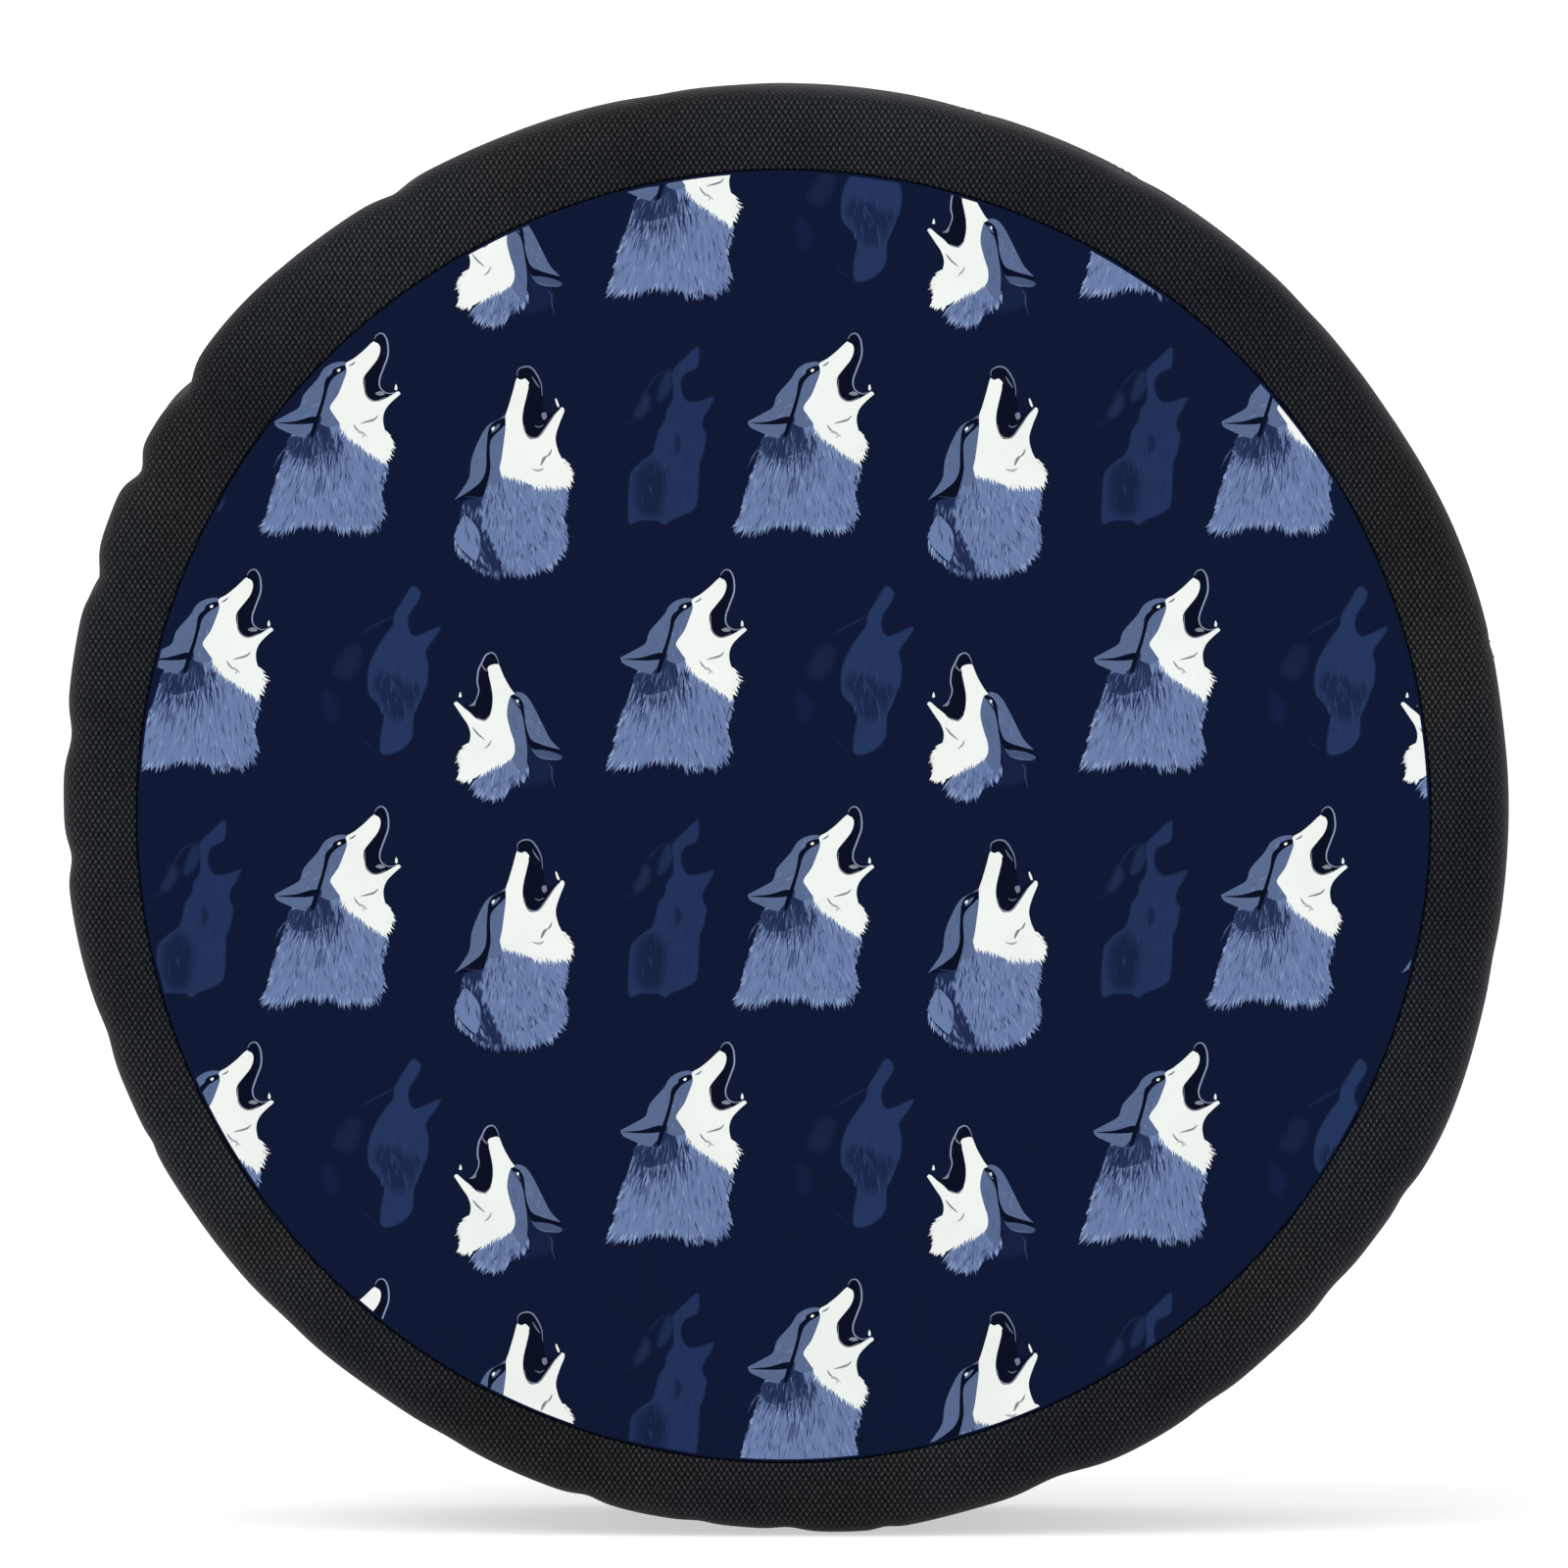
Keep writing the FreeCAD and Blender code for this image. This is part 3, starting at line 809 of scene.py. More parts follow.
class Drawing:
    """One motif of the print: flat shapes in millimetres, each later one over the earlier ones."""

    def __init__(self, seed):
        self.shapes = []
        self.dice = random.Random(seed)

    def fill(self, colour, points, smooth=True, corners=()):
        outline = curve(points, corners=corners) if smooth else list(points)
        self.shapes.append((colour, outline))
        return outline

    def soft(self, colour, points, spread=0.9, under=GROUND):
        """A shape with a soft edge, in steps."""
        outline = curve(points)
        for share, offset in ((0.22, spread), (0.5, spread * 0.35), (0.78, -spread * 0.3), (1.0, -spread)):
            self.shapes.append((mixed(under, colour, share), grown(outline, offset)))
        return outline

    def line(self, colour, width, points, taper=True):
        path = curve(points, closed=False)
        left = []
        right = []
        n = len(path)
        for i, (x, z) in enumerate(path):
            ax, az = path[max(i - 1, 0)]
            bx, bz = path[min(i + 1, n - 1)]
            length = math.hypot(bx - ax, bz - az) or 1.0
            t = i / (n - 1)
            half = width / 2 * (0.25 + 0.75 * math.sin(math.pi * t) if taper else 1.0)
            left.append((x - (bz - az) / length * half, z + (bx - ax) / length * half))
            right.append((x + (bz - az) / length * half, z - (bx - ax) / length * half))
        self.shapes.append((colour, left + right[::-1]))

    def hair(self, colour, root, lean, length, width):
        """One hair: it starts thin, is widest a third of the way down and ends in a point."""
        bend = self.dice.uniform(-0.25, 0.25)
        x, z = root
        a = lean + bend
        mid = (x + math.cos(lean) * length * 0.45, z + math.sin(lean) * length * 0.45)
        tip = (mid[0] + math.cos(a) * length * 0.55, mid[1] + math.sin(a) * length * 0.55)
        nx, nz = -math.sin(lean) * width / 2, math.cos(lean) * width / 2
        self.shapes.append((colour, [(x, z), (mid[0] + nx, mid[1] + nz), tip, (mid[0] - nx, mid[1] - nz)]))

    def fringe(self, colours, points, length, lean, step=1.5, width=1.5, spread=0.25):
        """Hair tips along an edge. lean is the direction at its start and at its end, in degrees."""
        path = curve(points, closed=False, steps=6)
        total = sum(math.dist(a, b) for a, b in zip(path, path[1:]))
        count = max(2, int(total / step))
        k = 0
        gone = 0.0
        for s in range(count):
            want = total * (s + self.dice.uniform(0.1, 0.9)) / count
            while k < len(path) - 2 and gone + math.dist(path[k], path[k + 1]) < want:
                gone += math.dist(path[k], path[k + 1])
                k += 1
            span = math.dist(path[k], path[k + 1]) or 1.0
            t = clamp((want - gone) / span)
            x = path[k][0] + (path[k + 1][0] - path[k][0]) * t
            z = path[k][1] + (path[k + 1][1] - path[k][1]) * t
            share = want / total
            angle = math.radians(lean[0] + (lean[1] - lean[0]) * share) + self.dice.uniform(-spread, spread)
            size = length * self.dice.uniform(0.55, 1.25)
            back = size * 0.45
            root = (x - math.cos(angle) * back, z - math.sin(angle) * back)
            self.hair(self.dice.choice(colours), root, angle, size + back,
                width * self.dice.uniform(0.7, 1.2))

    def coat(self, colours, outline, count, lean, length=(3.5, 7.5), width=0.75, keep_in=True):
        """Hairs scattered over a shape. lean(x, z) gives their direction in degrees."""
        xs = [p[0] for p in outline]
        zs = [p[1] for p in outline]
        made = 0
        tries = 0
        while made < count and tries < count * 12:
            tries += 1
            root = (self.dice.uniform(min(xs), max(xs)), self.dice.uniform(min(zs), max(zs)))
            angle = math.radians(lean(*root)) + self.dice.uniform(-0.22, 0.22)
            size = self.dice.uniform(*length)
            tip = (root[0] + math.cos(angle) * size, root[1] + math.sin(angle) * size)
            if not inside(root, outline) or (keep_in and not inside(tip, outline)):
                continue
            self.hair(self.dice.choice(colours), root, angle, size, width * self.dice.uniform(0.6, 1.3))
            made += 1


def head_right(seed):
    """The head that howls up to the right, with its ear laid back."""
    d = Drawing(seed)
    coat = [(16, 53.5), (15, 44), (11, 37), (7.5, 27.5), (4.5, 15), (1.5, 7), (10.5, 6), (20, 8.5),
        (27.5, 9), (36, 9), (42, 6), (49.5, 7), (55.5, 6.5), (61, 11), (63, 16), (61, 25), (62.5, 33.5),
        (64, 40.5), (55.5, 49), (45.5, 59), (36.5, 68.5), (27.5, 65)]
    fan = lambda x, z: 248 + (x - 8) * 0.72
    body = d.fill(FUR, coat)
    edge = [FUR, FUR, HAIR_LIGHT, HAIR_MID]
    d.fringe(edge, [(15, 49), (11, 37), (7.5, 27.5), (4.5, 15), (1, 6)], 3.2, (250, 236), step=1.7)
    d.fringe(edge, [(2, 7.5), (10.5, 6.5), (20, 9), (27.5, 9.5), (36, 9.5), (42, 6.5), (49.5, 7.5),
        (55.5, 7), (61.5, 11.5)], 5.0, (238, 296), step=0.8, width=1.1)
    d.fringe(edge, [(61.5, 11), (63.5, 16), (61.5, 25), (63.5, 33.5), (65, 40)], 3.0, (298, 292), step=1.6)
    d.coat([HAIR_LIGHT, HAIR_LIGHT, HAIR_MID, HAIR_MID, HAIR_DARK], body, 120, fan, (3.5, 8), 0.6)
    d.coat([HAIR_MID, HAIR_DARK], body, 150, fan, (4, 10), 0.36)
    d.coat([HAIR_LIGHT], body, 60, fan, (4, 8), 0.32)
    crest = lambda x, z: 248 + (x - 16) * 1.2
    d.coat([HAIR_MID, HAIR_DARK], [(13, 50), (32, 60), (46, 50), (46, 34), (34, 28), (20, 28), (11, 38)],
        70, crest, (7, 14), 0.5, False)
    d.soft(mixed(DUSK, HAIR_DARK, 0.15), [(16, 52), (24, 52.5), (29.5, 59), (33, 61), (35.5, 54),
        (34.5, 47), (28, 44.5), (21, 43), (16, 46)], 1.2, HAIR_DARK)
    d.coat([HAIR_DARK, DUSK, DUSK], [(14, 51), (24, 53), (30, 60), (39, 59), (44, 50), (37, 43), (28, 41),
        (16, 42)], 90, crest, (6, 13), 0.75, False)
    d.coat([HAIR_MID, FUR, HAIR_MID], [(14, 50), (32, 60), (44, 48), (38, 40), (20, 36), (12, 42)], 26,
        crest, (4, 9), 0.4)
    brow = d.fill(BROW, [(44.5, 91), (38.5, 91), (33, 88), (29.5, 82.5), (22.5, 74.5), (20.5, 68.5),
        (16, 65.5), (7.5, 61), (8.5, 58.5), (12, 56.5), (23, 52.5), (27, 57.5), (30, 60), (35.5, 58),
        (40.5, 60), (42.5, 67), (42, 77), (45, 86)], corners=(7,))
    d.coat([mixed(BROW, HAIR_LIGHT, 0.5), HAIR_MID, mixed(BROW, HAIR_DARK, 0.4)], brow, 30,
        lambda x, z: 222 if x < 34 else 258, (2.5, 6), 0.5)
    d.fill(DUSK, [(27, 62.5), (31.5, 63.5), (30, 56.5), (26.5, 52.5), (24, 53.5), (27.5, 57.5)])
    d.fill(INK, [(8.5, 60.2), (18, 61), (27, 63.5), (30, 62.5), (27, 60), (18, 59.5)])
    d.fill(INK, [(44.5, 89.5), (39.5, 88.6), (36.6, 85.2), (33.6, 82), (32.6, 76), (30.6, 68.5),
        (27.5, 60), (26, 54), (27.6, 53.5), (30, 60.5), (32.3, 68), (34.2, 75), (35.8, 80.5), (39, 84.3),
        (43.5, 87)])
    d.fill(INK, [(37, 86.5), (39, 88.4), (41.5, 89), (44, 88), (41.5, 85.8), (39, 84.8)])
    d.fill(WHITE, [(39.6, 87.2), (41, 87.9), (41.2, 86.8), (40, 86.3)])
    face = d.fill(WHITE, [(58.5, 102), (53, 97), (48, 93), (44, 90.5), (44.5, 86.5), (42.5, 80.5),
        (40, 74.5), (36, 68.5), (37.5, 65), (41, 60), (45.5, 53.5), (52, 48.5), (59, 43.5), (63.5, 42),
        (65.5, 46.5), (66.5, 51), (64, 56.5), (63, 62.5), (64.5, 67.5), (68, 71.5), (72, 75),
        (70.5, 76.2), (65, 73), (59.5, 71), (55.5, 72.5), (53.5, 77), (53, 83), (56.5, 88), (60, 92.5),
        (61.6, 97), (61, 100.5)], corners=(20,))
    d.fringe([WHITE], [(41, 60.5), (45.5, 54.5), (52, 49.5), (59, 44.5), (63, 42)], 3.8, (262, 292), 0.8,
        1.0)
    d.fringe([WHITE], [(62, 41), (64.5, 43), (66, 47), (66.8, 51), (64.6, 56)], 3.6, (300, 318), 0.8, 1.1)
    d.fill(INK, [(58.5, 101.8), (59.4, 104), (61.5, 105), (63.8, 104), (64.4, 100.5), (63.3, 96.5),
        (61.6, 94), (61.6, 98.5), (60.6, 100.6)])
    d.fill(INK, [(61.5, 94), (64.4, 95), (63, 88), (61, 82), (61.5, 77.8), (65, 75.4), (70, 76),
        (65, 73.6), (59.5, 71.6), (56, 73), (54, 77), (53.6, 83), (57, 88)])
    d.line(GREY, 0.8, [(53.6, 83), (53.8, 76), (56, 72.5), (59.5, 71.3), (64.5, 73.3)])
    d.line(RIM, 0.8, [(58.6, 103), (60.2, 105.4), (63, 105.7), (65.2, 102), (65.6, 95), (63.4, 88.5),
        (61.2, 82), (62, 77.5), (66, 75.2), (71, 76.4)])
    d.fill(GREY, [(59, 75.2), (61.5, 76.4), (64, 75), (61.5, 74.2)])
    d.fill(WHITE, [(69, 77.4), (69.5, 80), (70.3, 78.5), (70.1, 77)])
    d.line(HAIR_MID, 0.8, [(45.5, 89.2), (47.5, 90.2), (49, 91.5)])
    d.line(GREY, 1.1, [(51.5, 60), (55.5, 61), (58.5, 62), (60.5, 64)])
    d.line(GREY, 0.9, [(48, 59.5), (49.5, 57), (51, 56)])
    d.line(mixed(GREY, WHITE, 0.3), 1.3, [(50, 55.4), (52, 55.4), (54, 54)])
    d.line(mixed(GREY, WHITE, 0.4), 1.0, [(52.5, 52.5), (53.5, 54), (55, 53.2)])
    return d.shapes


def head_up(seed):
    """The head that howls straight up, with a second lobe of fur behind its ear."""
    d = Drawing(seed)
    edge = [FUR, FUR, HAIR_LIGHT, HAIR_MID]
    lobe = d.fill(DUSK, [(8, 41), (6, 32), (4.5, 22), (8, 14), (13, 8), (18, 5), (25.5, 3.5), (31, 4.5),
        (27, 14), (21, 24), (18.5, 36), (19, 44)])
    d.fill(FUR, [(7.5, 33.5), (5, 27.5), (4, 20), (9, 14), (14, 10.5), (16, 17.5), (15.5, 25), (11.5, 31)])
    d.fringe([DUSK, HAIR_MID, HAIR_DARK], [(8, 40), (6, 32)], 4.0, (262, 255), 1.2)
    d.fringe(edge, [(5.5, 30), (3.5, 20), (7, 14), (12, 9)], 3.6, (248, 290), 1.3)
    d.fringe([HAIR_MID, HAIR_DARK, FUR], [(12, 9), (17.5, 5.5), (25.5, 4), (30.5, 5)], 3.6, (262, 276), 1.2)
    d.coat([HAIR_MID, HAIR_DARK, FUR], lobe, 36, lambda x, z: 258 + x * 1.2, (3.5, 8), 0.7)
    body = d.fill(FUR, [(21.5, 68.5), (20, 56.5), (19, 47), (16.5, 39.5), (16.5, 32), (20.5, 22.5),
        (25, 13), (29.5, 6.5), (35.5, 3.5), (42.5, 5), (52, 7.5), (57.5, 14.5), (59, 20), (59, 27.5),
        (57.5, 33.5), (59.5, 40.5), (60, 49), (48.5, 50), (35.5, 54), (28.5, 57), (28.5, 68.5),
        (28, 78.5)])
    d.fringe([FUR, HAIR_MID, HAIR_DARK], [(18.5, 44), (16.5, 37), (17, 30), (20.5, 22.5), (25, 13)], 3.2,
        (262, 286), 1.8)
    d.fringe(edge, [(27, 9), (35.5, 4.5), (42.5, 6), (52, 8)], 4.4, (262, 300), 0.8, 1.1)
    d.fringe(edge, [(52, 8), (57.5, 14.5), (59.5, 20), (59.5, 27.5), (57.5, 33.5), (60, 40.5), (60, 47)],
        2.8, (300, 304), 1.1, 1.2)
    lean = lambda x, z: 262 + (x - 18) * 0.75
    d.coat([HAIR_LIGHT, HAIR_MID, HAIR_LIGHT, HAIR_MID, HAIR_DARK], body, 120, lean, (3.5, 8), 0.6)
    d.coat([HAIR_MID, HAIR_DARK], body, 130, lean, (4, 9), 0.36)
    d.coat([HAIR_LIGHT], body, 50, lean, (4, 8), 0.32)
    d.coat([HAIR_DARK, DUSK, HAIR_MID], [(18, 66), (24, 62), (31, 45), (34, 24), (26, 12), (18, 30)], 46,
        lean, (4, 9), 0.5)
    d.coat([HAIR_DARK, HAIR_DARK, DUSK], [(33, 18), (46, 24), (55, 30), (50, 14), (36, 10)], 12, lean,
        (3, 5), 0.8)
    brow = d.fill(BROW, [(29.5, 85), (25.5, 82.5), (19.5, 79), (14.5, 70), (11.5, 61.5), (10.5, 53),
        (7, 47), (3, 41.5), (10.5, 46), (16, 50.5), (19, 56.5), (20, 64), (19.5, 70.5), (22.5, 73.5),
        (28, 79.5)], corners=(7,))
    d.coat([HAIR_MID, mixed(BROW, HAIR_DARK, 0.35)], brow, 12, lambda x, z: 240, (2.5, 5), 0.5)
    cheek = d.fill(BROW, [(28.5, 80), (22, 73.5), (20.5, 67.5), (21.5, 59), (19.5, 49), (27, 51),
        (28.5, 58), (29, 68.5)])
    d.coat([HAIR_MID, mixed(BROW, HAIR_DARK, 0.35)], cheek, 14, lambda x, z: 262, (2.5, 5), 0.5)
    d.fill(INK, [(29, 83.4), (23, 81), (20.3, 77), (19.6, 72), (19.2, 65), (19, 57.5), (17, 51.5),
        (10.5, 46), (4.5, 41.5), (12, 42), (17, 43), (19.5, 49), (21.3, 57.5), (21, 65), (21.2, 70.5),
        (23, 74), (28.5, 79.6)])
    d.fill(BROW, [(21.8, 76), (23.4, 78.6), (26.2, 80.4), (25.4, 78.4), (23.2, 76.2)])
    d.fill(WHITE, [(21.9, 78), (23.3, 78.9), (23.1, 77.3), (22, 76.9)])
    d.line(HAIR_DARK, 0.5, [(8, 43.4), (14, 42.6), (19, 43)])
    d.fill(WHITE, [(35, 104), (33, 97.5), (30.5, 89), (29, 84.5), (29, 78.5), (28, 70), (27, 62.5),
        (26, 57), (28.5, 54.5), (35.5, 52.5), (45, 49.5), (53.5, 49), (60, 48.5), (61.6, 53), (61, 57.5),
        (57.5, 63), (55.5, 67.5), (54.5, 73.5), (56.5, 80.5), (59, 87), (57.3, 88.6), (54, 84.5),
        (48.5, 77), (45.5, 73.4), (41.5, 72.6), (38.8, 76), (37.6, 82), (38.2, 88), (40, 95.5),
        (41, 101.5), (38.5, 103.6)])
    d.fringe([WHITE], [(26.5, 57), (28.5, 55), (35.5, 53), (45, 49.5), (53.5, 49), (60, 49)], 3.4,
        (270, 290), 0.8, 1.0)
    d.fringe([WHITE], [(60.5, 48.5), (61.8, 53), (61, 58.5), (58, 62.6)], 3.2, (304, 326), 0.8, 1.1)
    d.fill(INK, [(35, 103.8), (35.4, 107.4), (38.5, 109), (42, 108.3), (44.3, 104.5), (47, 100.5),
        (47.6, 96), (44, 98), (41.2, 101.2), (39, 103.4), (37, 102.8)])
    d.fill(INK, [(41.2, 101.5), (47, 100), (47.5, 95.5), (50, 85.5), (55, 87.6), (57, 88.3), (54, 85.2),
        (48.5, 77.8), (45.3, 74.2), (41.8, 73.4), (39.4, 76.4), (38.2, 82), (38.8, 88), (40.6, 95.5)])
    d.line(mixed(RIM, GROUND, 0.35), 0.8, [(35, 104.6), (35.3, 107.6), (38.4, 109.4), (42.3, 108.8),
        (45.5, 104.5), (47.3, 100), (47.7, 94.5)])
    d.line(mixed(RIM, GROUND, 0.5), 0.8, [(42.5, 104.5), (44.3, 101.5), (46.4, 98.6)])
    d.line(GREY, 0.8, [(38.4, 80), (39.2, 75.6), (42, 73.2), (45.8, 73.6), (50, 79), (54, 84.9),
        (57.2, 88.2)])
    d.fill(WHITE, [(54.3, 92.6), (55, 93), (56.4, 89.4), (55.4, 89.2)])
    d.fill(mixed(RIM, GROUND, 0.4), [(47.3, 85.4), (49.5, 86.1), (50, 83.5), (48.3, 82.4)])
    d.line(mixed(RIM, GROUND, 0.5), 0.6, [(43.8, 79.6), (46, 78.6), (48.5, 79.8)])
    d.line(GREY, 1.0, [(52.6, 67.5), (51.5, 65), (50, 63.5)])
    d.line(GREY, 1.6, [(50, 64), (48.4, 62.2), (47, 59)])
    d.line(mixed(GREY, WHITE, 0.3), 1.3, [(42.5, 57.2), (46, 56.4), (48.6, 57.6)])
    return d.shapes


def head_left(seed):
    """The head that howls up to the left and ends in a small tuft of fur."""
    d = Drawing(seed)
    edge = [FUR, FUR, HAIR_LIGHT, HAIR_MID]
    d.soft(shade(22, 32, 64), [(37, 30), (39, 16), (35, 8), (47, 10), (51, 15), (49, 20.5), (43, 24)], 1.2)
    body = d.fill(FUR, [(10, 9.5), (13, 4.5), (19, 2), (26.5, 3.5), (29.5, 8), (36, 12), (37, 19.5),
        (37, 28.5), (30.5, 31), (30.5, 23.5), (25.5, 19.5), (18, 17)])
    d.fringe(edge, [(10, 9.5), (13, 5), (19, 2.5), (26.5, 4)], 3.8, (232, 262), 0.7, 1.0)
    d.fringe(edge + [HAIR_DARK], [(26.5, 4.5), (29.5, 9), (36, 12.5), (37.5, 19)], 3.0, (262, 292), 1.2)
    lean = lambda x, z: 234 + (x - 10) * 1.5
    d.coat([HAIR_LIGHT, HAIR_MID, HAIR_LIGHT, HAIR_MID, HAIR_DARK], body, 60, lean, (3, 6), 0.5)
    d.coat([HAIR_MID, HAIR_DARK], body, 60, lean, (3, 7), 0.34)
    brow = d.fill(BROW, [(31, 55.4), (34, 55.8), (37.5, 53.5), (41, 48), (45.5, 39), (49.5, 31.5),
        (55, 26), (50.5, 27), (42.5, 30), (39.5, 31.5), (37, 38), (35.5, 46.5), (33, 51.5)], corners=(6,))
    d.coat([HAIR_MID, mixed(BROW, HAIR_LIGHT, 0.4), mixed(BROW, HAIR_DARK, 0.4)], brow, 18,
        lambda x, z: 296, (2.5, 5), 0.5)
    cheek = d.fill(BROW, [(28, 54), (34, 47.5), (35.5, 41.5), (37, 32.5), (37.5, 23), (36, 14),
        (30.5, 20), (29, 28.5), (28, 36), (26.5, 44.5)])
    d.coat([HAIR_MID, mixed(BROW, HAIR_DARK, 0.4)], cheek, 18, lambda x, z: 280, (2.5, 6), 0.5)
    d.fill(mixed(BROW, DUSK, 0.45), [(39.5, 28.5), (45, 27), (52.5, 24.5), (55.4, 22.8), (53, 21),
        (47, 22), (41.5, 24)])
    d.fill(INK, [(29, 54.8), (31.5, 54), (35, 51), (36, 46.5), (36.8, 39), (39.3, 32), (45, 29),
        (55.4, 26.2), (53.5, 25), (45, 26.4), (40, 27), (37, 32.5), (35.8, 40), (34.2, 46.5), (31.5, 50)],
        corners=(7,))
    d.fill(INK, [(29.5, 53.5), (32.5, 53.8), (34.8, 51), (34.6, 47.5), (31.6, 50)])
    d.line(BROW, 0.8, [(30.4, 52.4), (32, 50.6), (34, 48.6)])
    d.fill(WHITE, [(32, 52), (33, 51.8), (33, 50.4), (32.3, 50.8)])
    d.line(BROW, 0.7, [(42, 23.4), (47, 21.8), (53, 21.6)])
    d.line(HAIR_DARK, 0.8, [(48, 19.5), (50, 17), (50, 13), (51.5, 7)])
    d.fill(WHITE, [(17, 68.5), (18.5, 69.5), (21, 71), (23, 70), (25.5, 64), (29, 57.8), (31, 55),
        (29, 54), (27.5, 49), (27.2, 43.5), (29, 36), (31, 29.5), (30.5, 23.5), (25.5, 20), (20, 18.5),
        (14.5, 14.5), (9.5, 11.5), (4, 11.5), (3.2, 14), (4, 18.5), (3.4, 24), (5.6, 27), (8, 30.5),
        (8.5, 35), (7, 39.5), (5, 42.5), (0, 50), (1.5, 51), (5, 48), (8.5, 45.2), (11.5, 42.3),
        (15.5, 41.3), (18.2, 43.5), (19.7, 49), (19.7, 55.5), (18.2, 63)], corners=(26,))
    d.fringe([WHITE], [(8, 30), (4.6, 26.5), (3.4, 23.5), (4, 18.5), (3, 12.5)], 3.2, (212, 232), 0.8, 1.0)
    d.fringe([WHITE], [(3, 12), (5, 11.4), (9.5, 11.4)], 3.0, (238, 262), 0.7, 1.0)
    d.fringe([WHITE], [(14.5, 14.5), (20, 18.5), (25.5, 20.5), (30.5, 24.5)], 3.2, (246, 262), 0.8, 1.0)
    d.fill(INK, [(15, 70.6), (17, 74.3), (20, 75), (22, 73), (22.8, 70.3), (21, 70.2), (18, 69.2),
        (17, 67.5), (15.4, 68.5)])
    d.fill(INK, [(13, 66.5), (17.2, 67.6), (18, 63), (19.2, 55.5), (19.2, 49), (17.8, 44.2), (15.5, 42),
        (11.8, 43.2), (8.8, 45.8), (5, 49), (8, 48.7), (11.2, 50.5), (12.5, 57.5)])
    d.line(RIM, 0.8, [(23, 70.6), (21.6, 74.2), (19.4, 76), (16.3, 74.6), (14.2, 70.5), (12.6, 67),
        (12, 61), (12.8, 56.5), (11, 51.4), (8, 48.6)])
    d.line(GREY, 0.7, [(14.4, 70), (15.6, 67.8), (17.4, 66.4)])
    d.line(GREY, 0.8, [(11.5, 42.8), (15.8, 41.4), (18.8, 44.5)])
    d.fill(GREY, [(7.8, 49), (10, 49.8), (11.4, 51.6), (10.6, 49)])
    d.fill(WHITE, [(2.6, 53.4), (3.3, 56), (4, 53.6)])
    d.line(GREY, 1.0, [(9.5, 38), (12, 34.8), (15.8, 31.5)])
    d.line(mixed(GREY, WHITE, 0.2), 1.0, [(19, 31.5), (18, 29), (15.5, 26.8)])
    return d.shapes


def shadow_tall(seed):
    """A faint head and neck, seen as a shadow in the ground colour."""
    d = Drawing(seed)
    d.soft(SHADOW_FAINT, [(15, 55.5), (21.5, 54.5), (20.5, 45.5), (16, 38.5), (11.5, 39.5), (7.5, 42),
        (11.5, 50.5)], 1.6)
    d.soft(shade(20, 30, 64), [(3, 33), (8.5, 28), (10.5, 23.5), (7, 16), (2.5, 22)], 1.5)
    d.line(SHADOW_FAINT, 1.6, [(38.5, 71), (30, 66.5), (21.5, 61.5)])
    d.line(shade(20, 30, 60), 1.4, [(21.5, 8.5), (24.5, 5.5), (28.5, 2)])
    d.soft(SHADOW, [(48, 86), (52, 82.5), (50, 77), (46.3, 71.5), (45.6, 66), (47, 61.8), (49.5, 60.4),
        (54, 62), (59.5, 64.5), (62.3, 65), (59.5, 60), (55.8, 55), (54.6, 51.5), (56, 45), (55, 35),
        (51.8, 30), (50, 24.5), (48, 21.5), (48, 10), (43.5, 3.5), (36, 0), (31.5, 1.5), (32, 11.5),
        (33.5, 20), (30, 26), (26, 30.5), (25, 37), (26, 45.5), (29.5, 53.5), (34, 60.5), (38, 66),
        (38.8, 71.5), (43.3, 79)], 0.5)
    d.soft(SHADOW_DEEP, [(31, 42), (35.5, 41), (42, 39), (46, 35), (50, 36), (52, 33), (49, 25),
        (46.5, 21), (40.5, 17), (36, 20), (32.5, 26.5), (28.5, 33), (28, 37)], 1.8, SHADOW)
    d.coat([mixed(SHADOW, SHADOW_DEEP, 0.5), SHADOW_LIGHT], [(28, 48), (52, 50), (54, 36), (46, 4),
        (34, 4), (28, 34)], 60, lambda x, z: 268, (4, 10), 0.6)
    return d.shapes


